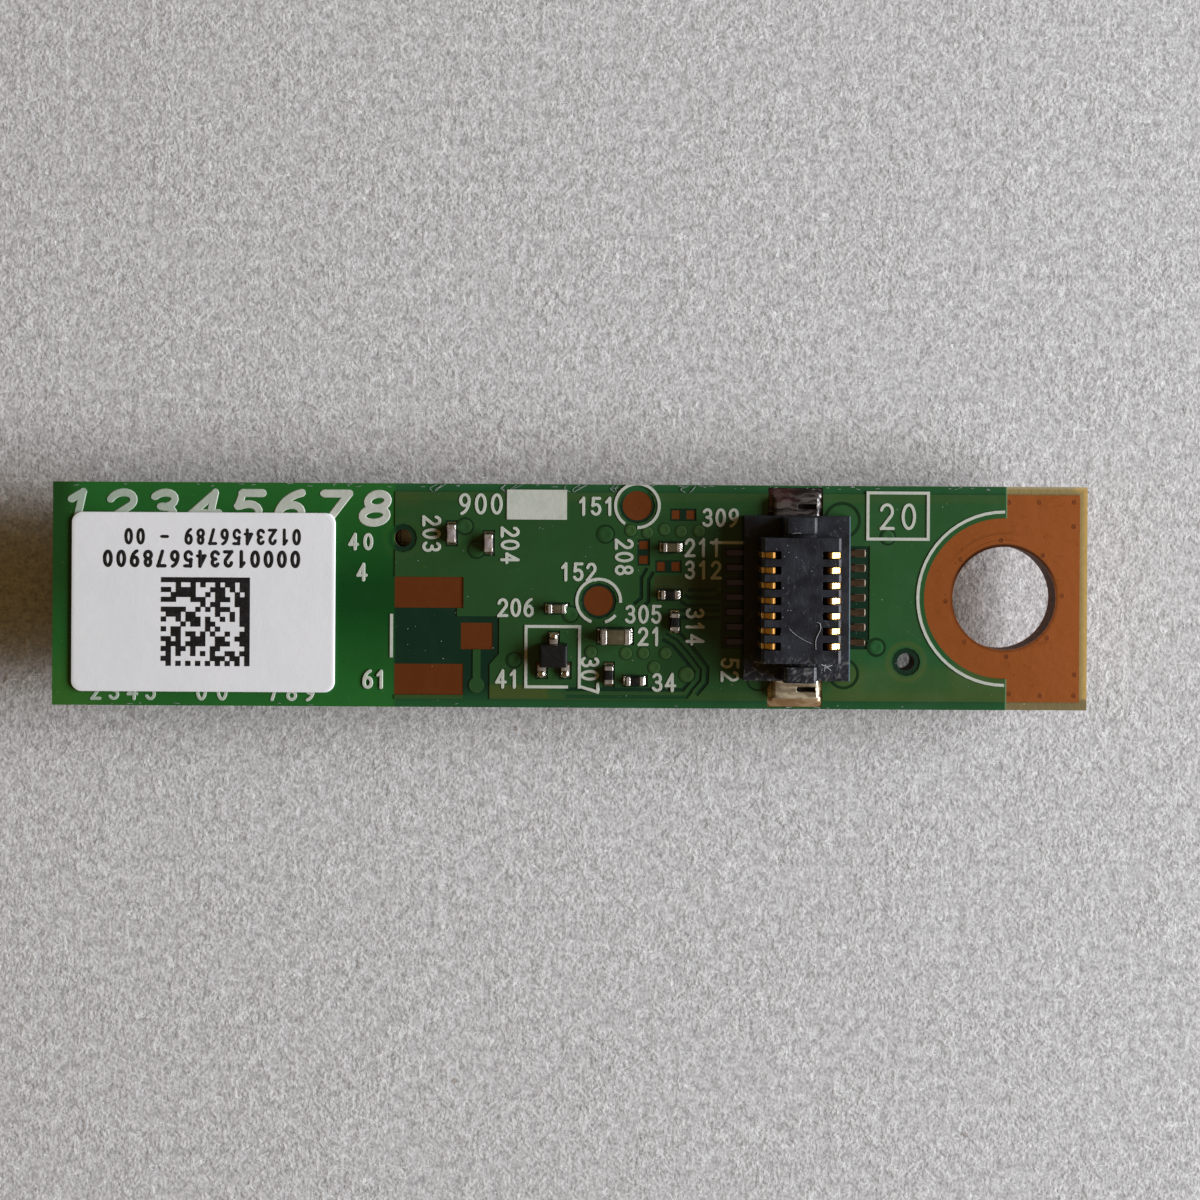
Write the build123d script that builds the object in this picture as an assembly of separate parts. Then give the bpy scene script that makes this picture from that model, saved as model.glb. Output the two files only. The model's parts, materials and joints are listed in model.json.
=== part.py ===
from build123d import *

import os
from dataclasses import dataclass

# A plug-in wireless card: a narrow two-sided printed circuit board that carries a
# board-to-board connector on its upper face, a screw hole at one end, and a radio
# under a stamped shield can on its lower face, with a printed antenna at the far end.
# Millimetres. X runs along the board towards the screw hole, Z points up out of the
# connector side, and the card rests on the flat face of its shield can at Z = 0.

# ---------------------------------------------------------------- driving dimensions

# Board
BOARD_LENGTH = 35.0
BOARD_WIDTH = 7.55
LAMINATE_THICK = 0.67
COPPER_THICK = 0.035
MASK_ON_COPPER = 0.03       # solder mask above the copper
MASK_ON_LAMINATE = 0.045    # the mask pools thicker where there is no copper
COPPER_EDGE_GAP = 0.27      # copper stops this far inside the board's edge
TRACE_WIDTH = 0.13
TRACE_GAP = 0.12            # bare strip on each side of a trace
LAND_GAP = 0.11             # bare strip around a signal land
CHIP_LAND_GAP = 0.06        # the same around a chip's lands
ROUND_SIDES = 12            # sides of a round window in the copper

# Screw hole, its exposed washer land and the two tooling holes
SCREW_HOLE_RADIUS = 1.75
SCREW_HOLE_FROM_END = 2.82
WASHER_LAND_RADIUS = 2.72
BARE_END_LENGTH = 2.74      # no solder mask on this length beside the screw hole's end
TOOLING_HOLE_RADIUS = 0.30
TOOLING_RING = 0.18         # copper is pulled back from a tooling hole by this much

# Places along the board, measured from the screw hole or from the connector's centre
CONNECTOR_TO_SCREW = 7.07
ANTENNA_ZONE_TO_CONNECTOR = 13.54
COAX_LAND_LENGTH = 2.33
COAX_LAND_WIDTH = 1.05
COAX_LAND_SPACING = 2.94    # between the centre lines of the two ground lands
COAX_CENTRE_Y = -1.37
COAX_SIGNAL_LENGTH = 1.07
COAX_SIGNAL_WIDTH = 0.90
COAX_GROUND_TO_SIGNAL = -0.08
TEST_LAND_RADIUS = 0.50

# Label
LABEL_TO_POUR = 2.01        # bare mask between the label and the ground pour
LABEL_WIDTH = 6.06
LABEL_THICK = 0.08
LABEL_CORNER = 0.35
LABEL_FROM_END = 0.66
LABEL_Y = -0.27

# Ink shapes, in boxes of left, low, right and high from the connector's centre
INK_THICK = 0.02
INK_LINE = 0.10
INK_FIELD = (-9.76, 2.58, -7.73, 3.59)
INK_LEFT_BOX = (-9.14, -3.12, -7.23, -0.98)
INK_LEFT_BOX_GAP = 0.33     # the left box's low side stops this far from its right side
INK_RIGHT_BOX = (2.39, 1.94, 4.53, 3.60)
INK_TICK_LENGTH = 1.12      # from the connector's base to the left
INK_TICK_Y = 1.79
INK_ARC_GAP = 0.21          # washer land to the arc around it
INK_RING_GAP = 0.24         # test land to the ring around it

# Board-to-board connector: a plug with two rows of contacts along a solid tongue
PITCH = 0.50
CONTACTS_PER_ROW = 7
BASE_LENGTH = 5.53          # along the rows
BASE_WIDTH = 3.55           # across the rows
BASE_HEIGHT = 0.40
TONGUE_LENGTH = 4.13
TONGUE_WIDTH = 2.62
TONGUE_HEIGHT = 1.30        # above the solder mask
TONGUE_BEVEL = 0.09
KEY_WIDTH = 1.08
KEY_HEIGHT = 1.18
KEY_END_GAP = 0.04          # from the key's end to the base's end
KEY_BEVEL = 0.10
END_SLOT_LENGTH = 1.20
END_SLOT_WIDTH = 0.14
END_SLOT_DEPTH = 0.45
CONTACT_WIDTH = 0.20
CONTACT_THICK = 0.10
CONTACT_BRIDGE = 0.46       # over the tongue's edge, outer leg to inner leg
CONTACT_TIP_DEPTH = 0.45
POCKET_SIDE_GAP = 0.03
POCKET_LENGTH = 0.17        # free space behind each inner leg
POCKET_DEPTH = 0.55
TAIL_SPAN = 4.65            # tip to tip across both rows
TAIL_LAND_WIDTH = 0.27
TAIL_LAND_TOE = 0.08
TAIL_LAND_HEEL = 0.05       # land inside a contact's leg

# Hold-down tabs at the connector's two ends
TAB_WIDTH = 1.55
TAB_REACH = 0.62            # beyond the connector's base
TAB_INSERT = 0.30           # length held inside the base
TAB_HEIGHT = 0.28
TAB_THICK = 0.12
TAB_SLOT_LENGTH = 0.68
TAB_SLOT_WIDTH = 0.17
TAB_SLOT_OFFSET = 0.36
TAB_LAND_SIDE = 0.15        # land showing on each side of a tab
TAB_LAND_EDGE_GAP = 0.07    # land to the board's edge

# Chip resistors and capacitors
SMALL_CHIP_LENGTH = 0.60
SMALL_CHIP_WIDTH = 0.30
SMALL_CHIP_HEIGHT = 0.30
SMALL_CHIP_BAND = 0.15
RESISTOR_HEIGHT = 0.23
PLATING = 0.02              # metal ends stand this far proud of the ceramic
LAND_TOE = 0.085            # land beyond a chip's end
LAND_HEEL = 0.04            # land inside a chip's metal band

# Three-lead transistor
TRANSISTOR_LENGTH = 0.96
TRANSISTOR_WIDTH = 0.80
TRANSISTOR_HEIGHT = 0.50
TRANSISTOR_SPAN = 1.36
TRANSISTOR_PITCH = 0.80
LEAD_WIDTH = 0.28
LEAD_THICK = 0.12
LEAD_INSERT = 0.12
BODY_STANDOFF = 0.03
BODY_DRAFT = 4.0

# Shield can on the underside; its length follows from the row of packages under it
CAN_WIDTH = 6.50
CAN_HEIGHT = 1.20
CAN_SHEET = 0.15
CAN_CORNER = 0.50
CAN_EDGE_ROUND = 0.22
CAN_PAST_ZONE = 0.17        # the can and its ground reach this far into the antenna zone
CAN_NOTCH_LENGTH = 1.10
CAN_NOTCH_HEIGHT = 0.30

CAN_END_ROOM = 0.70         # from the end packages to the can's end walls
CAN_SIDE_ROOM = 0.25        # from the outer chips to the can's long walls
COLUMN_GAP = 0.50           # between neighbouring packages
RADIO_SIDE = 4.50
RADIO_HEIGHT = 0.80
RADIO_PADS_PER_SIDE = 5
RADIO_PAD_PITCH = 0.65
CRYSTAL_LENGTH = 2.00
CRYSTAL_WIDTH = 2.50
CRYSTAL_HEIGHT = 0.35
CRYSTAL_LID = 0.20
MEMORY_SIDE = 2.00
REGULATOR_LENGTH = 1.20
FILTER_LENGTH = 2.00
PAD_THICK = 0.02

# Printed antenna on the underside
ANTENNA_TRACE = 0.45
ANTENNA_FOLDS = 6
ANTENNA_END_GAP = 0.45      # outermost leg's centre line to the board's end
ANTENNA_SIDE_GAP = 1.30     # meander's turns to the board's long edges
ANTENNA_GROUND_LEG = 1.50   # length of the short leg that joins the ground
ANTENNA_FEED_SPACING = 1.50

# ---------------------------------------------------------------- levels and places

Z_LAND_LOW = CAN_HEIGHT
Z_LAMINATE_LOW = Z_LAND_LOW + COPPER_THICK
Z_LAMINATE_TOP = Z_LAMINATE_LOW + LAMINATE_THICK
Z_LAND_TOP = Z_LAMINATE_TOP + COPPER_THICK
Z_MASK_TOP = Z_LAND_TOP + MASK_ON_COPPER
Z_BARE_TOP = Z_LAMINATE_TOP + MASK_ON_LAMINATE

HALF_LENGTH = BOARD_LENGTH / 2
HALF_WIDTH = BOARD_WIDTH / 2
SCREW_X = HALF_LENGTH - SCREW_HOLE_FROM_END
MASK_END_X = HALF_LENGTH - BARE_END_LENGTH
CONNECTOR_X = SCREW_X - CONNECTOR_TO_SCREW
ZONE_X = CONNECTOR_X - ANTENNA_ZONE_TO_CONNECTOR
LABEL_START_X = LABEL_FROM_END - HALF_LENGTH
LABEL_LENGTH = ZONE_X - LABEL_TO_POUR - LABEL_START_X
CAN_LEFT_X = ZONE_X - CAN_PAST_ZONE
LOW_ZONE_X = CAN_LEFT_X - CAN_SHEET
COPPER_X = HALF_LENGTH - COPPER_EDGE_GAP
COPPER_Y = HALF_WIDTH - COPPER_EDGE_GAP
BASE_END_Y = BASE_LENGTH / 2


@dataclass(frozen=True)
class Chip:
    """A two-ended chip at a place on the board; turn is in degrees."""

    name: str
    x: float
    y: float
    turn: float
    length: float = SMALL_CHIP_LENGTH
    width: float = SMALL_CHIP_WIDTH
    height: float = SMALL_CHIP_HEIGHT
    band: float = SMALL_CHIP_BAND


@dataclass(frozen=True)
class Package:
    """A leadless package under the board."""

    x: float
    y: float
    length: float
    width: float
    height: float


def top_chip(name, dx, dy, turn, **size):
    """A chip on the upper face, placed from the connector's centre."""
    return Chip(name, CONNECTOR_X + dx, dy, turn, **size)


TOP_CHIPS = [
    top_chip("capacitor_1", -11.62, 2.10, 90),
    top_chip("capacitor_2", -10.37, 1.78, 90),
    top_chip("capacitor_3", -8.06, -0.42, 0),
    top_chip("capacitor_4", -4.20, 1.67, 0),
    top_chip("capacitor_5", -6.08, -1.34, 0, length=1.00, width=0.50, height=0.50, band=0.22),
    top_chip("resistor_1", -4.25, 0.07, 0, height=RESISTOR_HEIGHT),
    top_chip("resistor_2", -4.07, -0.85, 90, height=RESISTOR_HEIGHT),
    top_chip("resistor_3", -6.29, -2.64, 90, height=RESISTOR_HEIGHT),
    top_chip("resistor_4", -5.41, -2.85, 0, height=RESISTOR_HEIGHT),
]
# Chip places that were left empty: bare lands only
EMPTY_CHIPS = [
    top_chip("empty_1", -3.80, 2.77, 0),
    top_chip("empty_2", -4.29, 1.02, 0),
    top_chip("empty_3", -5.13, 1.49, 90),
]
TEST_LANDS = [(CONNECTOR_X - 6.64, -0.16), (CONNECTOR_X - 5.35, 3.07)]
TRANSISTOR_PLACE = (CONNECTOR_X - 8.16, -1.99)
TOOLING_HOLES = [(CONNECTOR_X - 13.27, 1.93), (CONNECTOR_X + 3.76, -2.16)]
# Signal traces on the upper face, each a list of corners from the connector's centre
TOP_TRACES = [
    [
        (-4.42, -1.33), (-4.04, -1.56), (-3.61, -2.06), (-3.28, -2.49),
        (-3.31, -2.77), (-3.72, -3.27), (-7.75, -3.27),
    ],
    [(-4.30, -1.15), (-3.90, -1.40), (-3.44, -1.93), (-3.07, -2.42), (-3.09, -2.86), (-3.42, -3.24)],
    [(-4.91, 0.90), (-5.08, 0.60), (-5.08, -0.11), (-5.38, -0.35)],
    [(-3.81, -0.05), (-3.62, -0.16), (-2.54, -0.16)],
    [(-3.62, 0.11), (-2.72, 0.11), (-2.61, 0.21)],
    [(-3.93, -0.58), (-2.54, -0.58)],
]


def column_centres():
    """The columns of packages under the can, from its left wall to its right."""
    widths = [FILTER_LENGTH, CRYSTAL_LENGTH, RADIO_SIDE, REGULATOR_LENGTH, MEMORY_SIDE]
    centres, start = [], CAN_LEFT_X + CAN_SHEET + CAN_END_ROOM
    for width in widths:
        centres.append(start + width / 2)
        start += width + COLUMN_GAP
    return centres, start - COLUMN_GAP + CAN_END_ROOM + CAN_SHEET


COLUMNS, CAN_RIGHT_X = column_centres()
CAN_LENGTH = CAN_RIGHT_X - CAN_LEFT_X
CAN_X = (CAN_LEFT_X + CAN_RIGHT_X) / 2
SIDE_Y = CAN_WIDTH / 2 - CAN_SHEET - CAN_SIDE_ROOM - SMALL_CHIP_LENGTH / 2

FILTER = Chip("antenna_filter", COLUMNS[0], 0, 0, FILTER_LENGTH, 1.25, 0.70, 0.30)
CRYSTAL = Package(COLUMNS[1], 0, CRYSTAL_LENGTH, CRYSTAL_WIDTH, CRYSTAL_HEIGHT)
RADIO = Package(COLUMNS[2], 0, RADIO_SIDE, RADIO_SIDE, RADIO_HEIGHT)
REGULATOR = Package(COLUMNS[3], 0, REGULATOR_LENGTH, 1.60, 0.55)
MEMORY = Package(COLUMNS[4], -SIDE_Y + MEMORY_SIDE / 3, MEMORY_SIDE, MEMORY_SIDE, 0.60)
INDUCTOR = Chip("inductor", COLUMNS[4], SIDE_Y - SMALL_CHIP_LENGTH / 2, 0, 1.60, 0.80, 0.80, 0.35)
UNDER_CAPACITORS = [
    Chip("under_capacitor", COLUMNS[0] + dx, side * SIDE_Y, 90)
    for side in (-1, 1) for dx in (-0.6, 0.6)
] + [
    Chip("under_capacitor", COLUMNS[3], side * (SIDE_Y - dy), 0)
    for side in (-1, 1) for dy in (0, 0.7)
]
UNDER_RESISTORS = [
    Chip("under_resistor", COLUMNS[1] + dx, side * SIDE_Y, 90, height=RESISTOR_HEIGHT)
    for side in (-1, 1) for dx in (-0.4, 0.4)
]


# ---------------------------------------------------------------- drawing helpers

def area(x, y, length, width):
    """A rectangle about its centre."""
    return Pos(x, y) * Rectangle(length, width)


def span(x0, y0, x1, y1):
    """A rectangle from corner to corner."""
    return area((x0 + x1) / 2, (y0 + y1) / 2, x1 - x0, y1 - y0)


def disc(x, y, radius):
    return Pos(x, y) * Circle(radius)


def round_window(x, y, radius):
    """A nearly round opening in a copper sheet."""
    return Pos(x, y) * RegularPolygon(radius, ROUND_SIDES)


def joined(pieces):
    """All the flat pieces as one sketch."""
    return Sketch() + list(pieces)


def slab(sketch, low, high):
    """The sketch as a solid between two levels."""
    return extrude(Pos(0, 0, low) * sketch, amount=high - low)


def block(x, y, low, length, width, height):
    """An upright box about (x, y), standing on the level low."""
    return Pos(x, y, low) * Box(length, width, height, align=(Align.CENTER, Align.CENTER, Align.MIN))


def strip(points, width):
    """A track of one width along straight runs, with mitred corners."""
    at = [Vector(x, y) for x, y in points]
    ways = [(end - start).normalized() for start, end in zip(at, at[1:])]
    left, right = [], []
    for i, point in enumerate(at):
        before, after = ways[max(i - 1, 0)], ways[min(i, len(ways) - 1)]
        middle = (before + after).normalized()
        reach = width / 2 / middle.dot(before)
        side = Vector(-middle.Y, middle.X) * reach
        left.append(point + side)
        right.append(point - side)
    return make_face(Polyline(*left, *reversed(right), close=True))


def from_connector(points):
    return [(CONNECTOR_X + x, y) for x, y in points]


# ---------------------------------------------------------------- holes and outlines

def tooling_discs():
    return joined(disc(x, y, TOOLING_HOLE_RADIUS) for x, y in TOOLING_HOLES)


def tooling_windows():
    """Copper is pulled back from the tooling holes; the mask is not."""
    return joined(round_window(x, y, TOOLING_HOLE_RADIUS + TOOLING_RING) for x, y in TOOLING_HOLES)


def through_holes():
    return joined([disc(SCREW_X, 0, SCREW_HOLE_RADIUS), tooling_discs()])


def mask_outline():
    """Both faces: masked up to the bare end, clear of the washer land and the holes."""
    sheet = span(-HALF_LENGTH, -HALF_WIDTH, MASK_END_X, HALF_WIDTH)
    return sheet - disc(SCREW_X, 0, WASHER_LAND_RADIUS) - tooling_discs()


def board():
    sheet = Rectangle(BOARD_LENGTH, BOARD_WIDTH) - through_holes()
    return slab(sheet, Z_LAMINATE_LOW, Z_LAMINATE_TOP)


# ---------------------------------------------------------------- lands

def chip_lands(chip):
    """The two lands under a chip's ends."""
    inner = chip.length / 2 - chip.band - LAND_HEEL
    outer = chip.length / 2 + LAND_TOE
    lands = joined(span(s * inner, -chip.width / 2, s * outer, chip.width / 2) for s in (-1, 1))
    return Pos(chip.x, chip.y) * Rot(0, 0, chip.turn) * lands


def chip_clearing(chip):
    """The patch without ground copper under a chip."""
    grow = 2 * (LAND_TOE + CHIP_LAND_GAP)
    patch = Rectangle(chip.length + grow, chip.width + 2 * CHIP_LAND_GAP)
    return Pos(chip.x, chip.y) * Rot(0, 0, chip.turn) * patch


def tail_xs():
    """Inner and outer end of a connector land, from the connector's centre."""
    return TONGUE_WIDTH / 2 - CONTACT_THICK - TAIL_LAND_HEEL, TAIL_SPAN / 2 + TAIL_LAND_TOE


def contact_ys():
    return [(i - (CONTACTS_PER_ROW - 1) / 2) * PITCH for i in range(CONTACTS_PER_ROW)]


def tail_lands():
    inner, outer = tail_xs()
    return [
        area(CONNECTOR_X + s * (inner + outer) / 2, y, outer - inner, TAIL_LAND_WIDTH)
        for s in (-1, 1) for y in contact_ys()
    ]


def tail_clearing():
    inner, outer = tail_xs()
    reach = contact_ys()[-1] + TAIL_LAND_WIDTH / 2 + LAND_GAP
    return joined(
        area(CONNECTOR_X + s * (inner + outer) / 2, 0, outer - inner + 2 * LAND_GAP, 2 * reach) for s in (-1, 1)
    )


def tab_lands():
    """Ground lands under the hold-down tabs, out to the board's edge."""
    half = TAB_WIDTH / 2 + TAB_LAND_SIDE
    outer = HALF_WIDTH - TAB_LAND_EDGE_GAP
    return joined(
        span(CONNECTOR_X - half, s * (BASE_END_Y - TAB_INSERT), CONNECTOR_X + half, s * outer) for s in (-1, 1)
    )


def coax_grounds():
    x = ZONE_X + COAX_LAND_LENGTH / 2
    return joined(
        area(x, COAX_CENTRE_Y + s * COAX_LAND_SPACING / 2, COAX_LAND_LENGTH, COAX_LAND_WIDTH)
        for s in (-1, 1)
    )


def coax_signal_x():
    return ZONE_X + COAX_LAND_LENGTH + COAX_GROUND_TO_SIGNAL + COAX_SIGNAL_LENGTH / 2


def coax_clearing():
    """No copper between the coaxial lands, around the signal land and down its trace."""
    x = coax_signal_x()
    gap = 2 * LAND_GAP
    half_span = (COAX_LAND_SPACING - COAX_LAND_WIDTH) / 2
    right = x + COAX_SIGNAL_LENGTH / 2 + gap
    top = COAX_CENTRE_Y + COAX_SIGNAL_WIDTH / 2 + gap
    low = COAX_CENTRE_Y - half_span
    channel = x + 2 * gap
    window = span(ZONE_X - 1, low, ZONE_X + COAX_LAND_LENGTH - gap, COAX_CENTRE_Y + half_span)
    corner = 0.35
    shape = Polyline(
        (ZONE_X, top), (right, top), (right, low + corner), (channel, low),
        (channel, -COPPER_Y - 1), (ZONE_X + COAX_LAND_LENGTH, -COPPER_Y - 1),
        (ZONE_X + COAX_LAND_LENGTH, low), (ZONE_X, low), close=True,
    )
    return window + make_face(shape)


def coax_signal():
    """The signal land with the short trace that runs down to its plated hole."""
    x = coax_signal_x()
    via_y = -COPPER_Y + 4 * TRACE_GAP
    return joined([
        area(x, COAX_CENTRE_Y, COAX_SIGNAL_LENGTH, COAX_SIGNAL_WIDTH),
        span(x - TRACE_WIDTH, via_y, x + TRACE_WIDTH, COAX_CENTRE_Y),
        disc(x, via_y, 2 * TRACE_WIDTH),
    ])


def transistor_lead_places():
    """Centre of each lead: two in front, one behind."""
    x, y = TRANSISTOR_PLACE
    reach = TRANSISTOR_SPAN / 2
    return [
        (x - TRANSISTOR_PITCH / 2, y - reach, 1),
        (x + TRANSISTOR_PITCH / 2, y - reach, 1),
        (x, y + reach, -1),
    ]


def transistor_lands(grow=0.0):
    """The three lands under the transistor's leads, or the copper's clearing around them."""
    length = (TRANSISTOR_SPAN - TRANSISTOR_WIDTH) / 2 + LEAD_INSERT + LAND_TOE
    return [
        area(x, y + inward * (length / 2 - LAND_TOE), LEAD_WIDTH + LAND_HEEL + 2 * grow, length + 2 * grow)
        for x, y, inward in transistor_lead_places()
    ]


def test_lands():
    return [disc(x, y, TEST_LAND_RADIUS) for x, y in TEST_LANDS]


# ---------------------------------------------------------------- upper copper and mask

def top_signal_copper():
    traces = joined(strip(from_connector(points), TRACE_WIDTH) for points in TOP_TRACES)
    lands = [chip_lands(chip) for chip in TOP_CHIPS + EMPTY_CHIPS]
    return joined([traces, coax_signal(), *lands, *test_lands(), *tail_lands(), *transistor_lands()])


def top_clearing():
    channels = [strip(from_connector(points), TRACE_WIDTH + 2 * TRACE_GAP) for points in TOP_TRACES]
    patches = [chip_clearing(chip) for chip in TOP_CHIPS + EMPTY_CHIPS]
    rings = [round_window(x, y, TEST_LAND_RADIUS + LAND_GAP) for x, y in TEST_LANDS]
    around_leads = transistor_lands(CHIP_LAND_GAP)
    return joined([*channels, *patches, *rings, *around_leads, tail_clearing(), coax_clearing()])


def top_ground():
    """The ground pour, which also is the washer land and the connector's tab lands."""
    pour = span(ZONE_X, -COPPER_Y, COPPER_X, COPPER_Y) - top_clearing()
    return pour + tab_lands() + coax_grounds() - through_holes() - tooling_windows()


def top_openings():
    """Where the mask lets the copper show."""
    x = coax_signal_x()
    lands = [chip_lands(chip) for chip in TOP_CHIPS + EMPTY_CHIPS]
    signal = area(x, COAX_CENTRE_Y, COAX_SIGNAL_LENGTH, COAX_SIGNAL_WIDTH)
    return joined([
        coax_grounds(), signal, tab_lands(), *lands, *test_lands(), *tail_lands(), *transistor_lands(),
    ])


def mask_solid(outline, copper, base, side):
    """A mask sheet on one face: side is 1 for the upper face and -1 for the lower."""
    over_laminate = slab(outline - copper, base, base + side * MASK_ON_LAMINATE)
    over_copper = slab(
        outline & copper, base + side * COPPER_THICK, base + side * (COPPER_THICK + MASK_ON_COPPER)
    )
    return over_laminate + over_copper


def upper_layers():
    ground = top_ground()
    signal = top_signal_copper() - ground
    outline = mask_outline() - top_openings()
    return {
        "ground_copper_top": slab(ground, Z_LAMINATE_TOP, Z_LAND_TOP),
        "signal_copper_top": slab(signal, Z_LAMINATE_TOP, Z_LAND_TOP),
        "solder_mask_top": mask_solid(outline, ground + signal, Z_LAMINATE_TOP, 1),
    }


# ---------------------------------------------------------------- lower copper and mask

def can_ring(grow):
    """The outline band that the can's rim is soldered to, wider than the rim by grow each way."""
    outer = Pos(CAN_X, 0) * Rectangle(CAN_LENGTH + 2 * grow, CAN_WIDTH + 2 * grow)
    inner = Pos(CAN_X, 0) * Rectangle(
        CAN_LENGTH - 2 * (CAN_SHEET + grow), CAN_WIDTH - 2 * (CAN_SHEET + grow)
    )
    return outer - inner


def antenna():
    """A meandered inverted F: a ground leg, a feed leg and the folded arm."""
    near = LOW_ZONE_X - ANTENNA_GROUND_LEG
    reach = HALF_WIDTH - ANTENNA_SIDE_GAP
    legs = 2 * ANTENNA_FOLDS
    step = (near - (ANTENNA_END_GAP - HALF_LENGTH)) / (legs - 1)
    points = []
    for i in range(legs):
        x, start = near - i * step, reach if i % 2 == 0 else -reach
        points += [(x, start), (x, -start)]
    half, feed_y = ANTENNA_TRACE / 2, reach - ANTENNA_FEED_SPACING
    ground_leg = span(near, reach - half, LOW_ZONE_X, reach + half)
    feed_leg = span(near, feed_y - half, LOW_ZONE_X - LAND_GAP, feed_y + half)
    return joined([strip(points, ANTENNA_TRACE), ground_leg, feed_leg])


def pad_grid(package, per_side, pitch):
    """Centres and sizes of the pads along a package's two long sides."""
    offsets = [(i - (per_side - 1) / 2) * pitch for i in range(per_side)]
    depth = 0.8 * pitch
    reach = package.width / 2 - depth / 2
    return [(package.x + o, package.y + s * reach, pitch / 2, depth) for s in (-1, 1) for o in offsets]


def radio_pads():
    """Pads on all four sides and the thermal pad in the middle."""
    ends = pad_grid(RADIO, RADIO_PADS_PER_SIDE, RADIO_PAD_PITCH)
    sides = [
        (RADIO.x + (py - RADIO.y), RADIO.y + (px - RADIO.x), h, w) for px, py, w, h in ends
    ]
    return ends + sides + [(RADIO.x, RADIO.y, RADIO_SIDE / 2, RADIO_SIDE / 2)]


def crystal_pads():
    pad_x, pad_y = 0.4 * CRYSTAL_LENGTH, 0.36 * CRYSTAL_WIDTH
    dx, dy = (CRYSTAL_LENGTH - pad_x) / 2, (CRYSTAL_WIDTH - pad_y) / 2
    return [
        (CRYSTAL.x + sx * dx, CRYSTAL.y + sy * dy, pad_x, pad_y) for sx in (-1, 1) for sy in (-1, 1)
    ]


def memory_pads():
    return pad_grid(MEMORY, 4, MEMORY_SIDE / 4)


def regulator_pads():
    return pad_grid(REGULATOR, 3, REGULATOR_LENGTH / 3)


def all_under_chips():
    return [*UNDER_CAPACITORS, *UNDER_RESISTORS, FILTER, INDUCTOR]


def under_signal():
    pads = radio_pads() + crystal_pads() + memory_pads() + regulator_pads()
    lands = [chip_lands(chip) for chip in all_under_chips()]
    return joined([area(*pad) for pad in pads] + lands)


def under_windows():
    """One window in the ground copper and in the mask for each piece under the can."""
    patches = [chip_clearing(chip) for chip in all_under_chips()]
    packages = [
        area(one.x, one.y, one.length + 2 * LAND_GAP, one.width + 2 * LAND_GAP)
        for one in (RADIO, CRYSTAL, MEMORY, REGULATOR)
    ]
    return joined(patches + packages)


def lower_layers():
    windows = under_windows()
    ground = span(LOW_ZONE_X, -COPPER_Y, COPPER_X, COPPER_Y) - windows
    ground = ground - through_holes() - tooling_windows()
    signal, aerial = under_signal(), antenna() - ground
    outline = mask_outline() - windows - can_ring(CAN_SHEET)
    copper = ground + signal + aerial
    return {
        "ground_copper_bottom": slab(ground, Z_LAND_LOW, Z_LAMINATE_LOW),
        "signal_copper_bottom": slab(signal, Z_LAND_LOW, Z_LAMINATE_LOW),
        "printed_antenna": slab(aerial, Z_LAND_LOW, Z_LAMINATE_LOW),
        "solder_mask_bottom": mask_solid(outline, copper, Z_LAMINATE_LOW, -1),
    }


# ---------------------------------------------------------------- label and ink

def label():
    x = LABEL_START_X + LABEL_LENGTH / 2
    sheet = Pos(x, LABEL_Y) * RectangleRounded(LABEL_LENGTH, LABEL_WIDTH, LABEL_CORNER)
    return slab(sheet, Z_BARE_TOP, Z_BARE_TOP + LABEL_THICK)


def frame_ink(left, low, right, high):
    """A printed rectangle in outline."""
    line = INK_LINE
    return span(left, low, right, high) - span(left + line, low + line, right - line, high - line)


def arc_ink(x, y, radius, start, sweep):
    """A printed arc of one line width, angles in degrees."""
    return Pos(x, y) * trace(CenterArc((0, 0), radius, start, sweep), line_width=INK_LINE)


def ink():
    """The printed shapes: blank field, boxes, rings cut off by the board's edge, arc and bars."""
    _, low, right, _ = INK_LEFT_BOX
    box_gap = span(right - INK_LINE - INK_LEFT_BOX_GAP, low, right - INK_LINE, low + INK_LINE)
    tick_end = -BASE_WIDTH / 2
    from_centre = [
        span(*INK_FIELD),
        frame_ink(*INK_LEFT_BOX) - box_gap,
        frame_ink(*INK_RIGHT_BOX),
        span(tick_end - INK_TICK_LENGTH, INK_TICK_Y, tick_end, INK_TICK_Y + INK_LINE),
    ]
    shapes = [Pos(CONNECTOR_X, 0) * shape for shape in from_centre]
    shapes += [
        arc_ink(SCREW_X, 0, WASHER_LAND_RADIUS + INK_ARC_GAP, 90, 180),
        arc_ink(*TEST_LANDS[1], TEST_LAND_RADIUS + INK_RING_GAP, 270, 326),
        arc_ink(*TEST_LANDS[0], TEST_LAND_RADIUS + INK_RING_GAP, -4, 255),
        arc_ink(*TEST_LANDS[0], TEST_LAND_RADIUS + INK_RING_GAP, 287, 33),
    ]
    coax_bar = area(ZONE_X - INK_LINE, COAX_CENTRE_Y, INK_LINE, COAX_LAND_SPACING / 2)
    over_board = block(0, 0, Z_MASK_TOP, BOARD_LENGTH, BOARD_WIDTH, INK_THICK)
    on_copper = [over_board & slab(shape, Z_MASK_TOP, Z_MASK_TOP + INK_THICK) for shape in shapes]
    return on_copper + [slab(coax_bar, Z_BARE_TOP, Z_BARE_TOP + INK_THICK)]


# ---------------------------------------------------------------- connector

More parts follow.
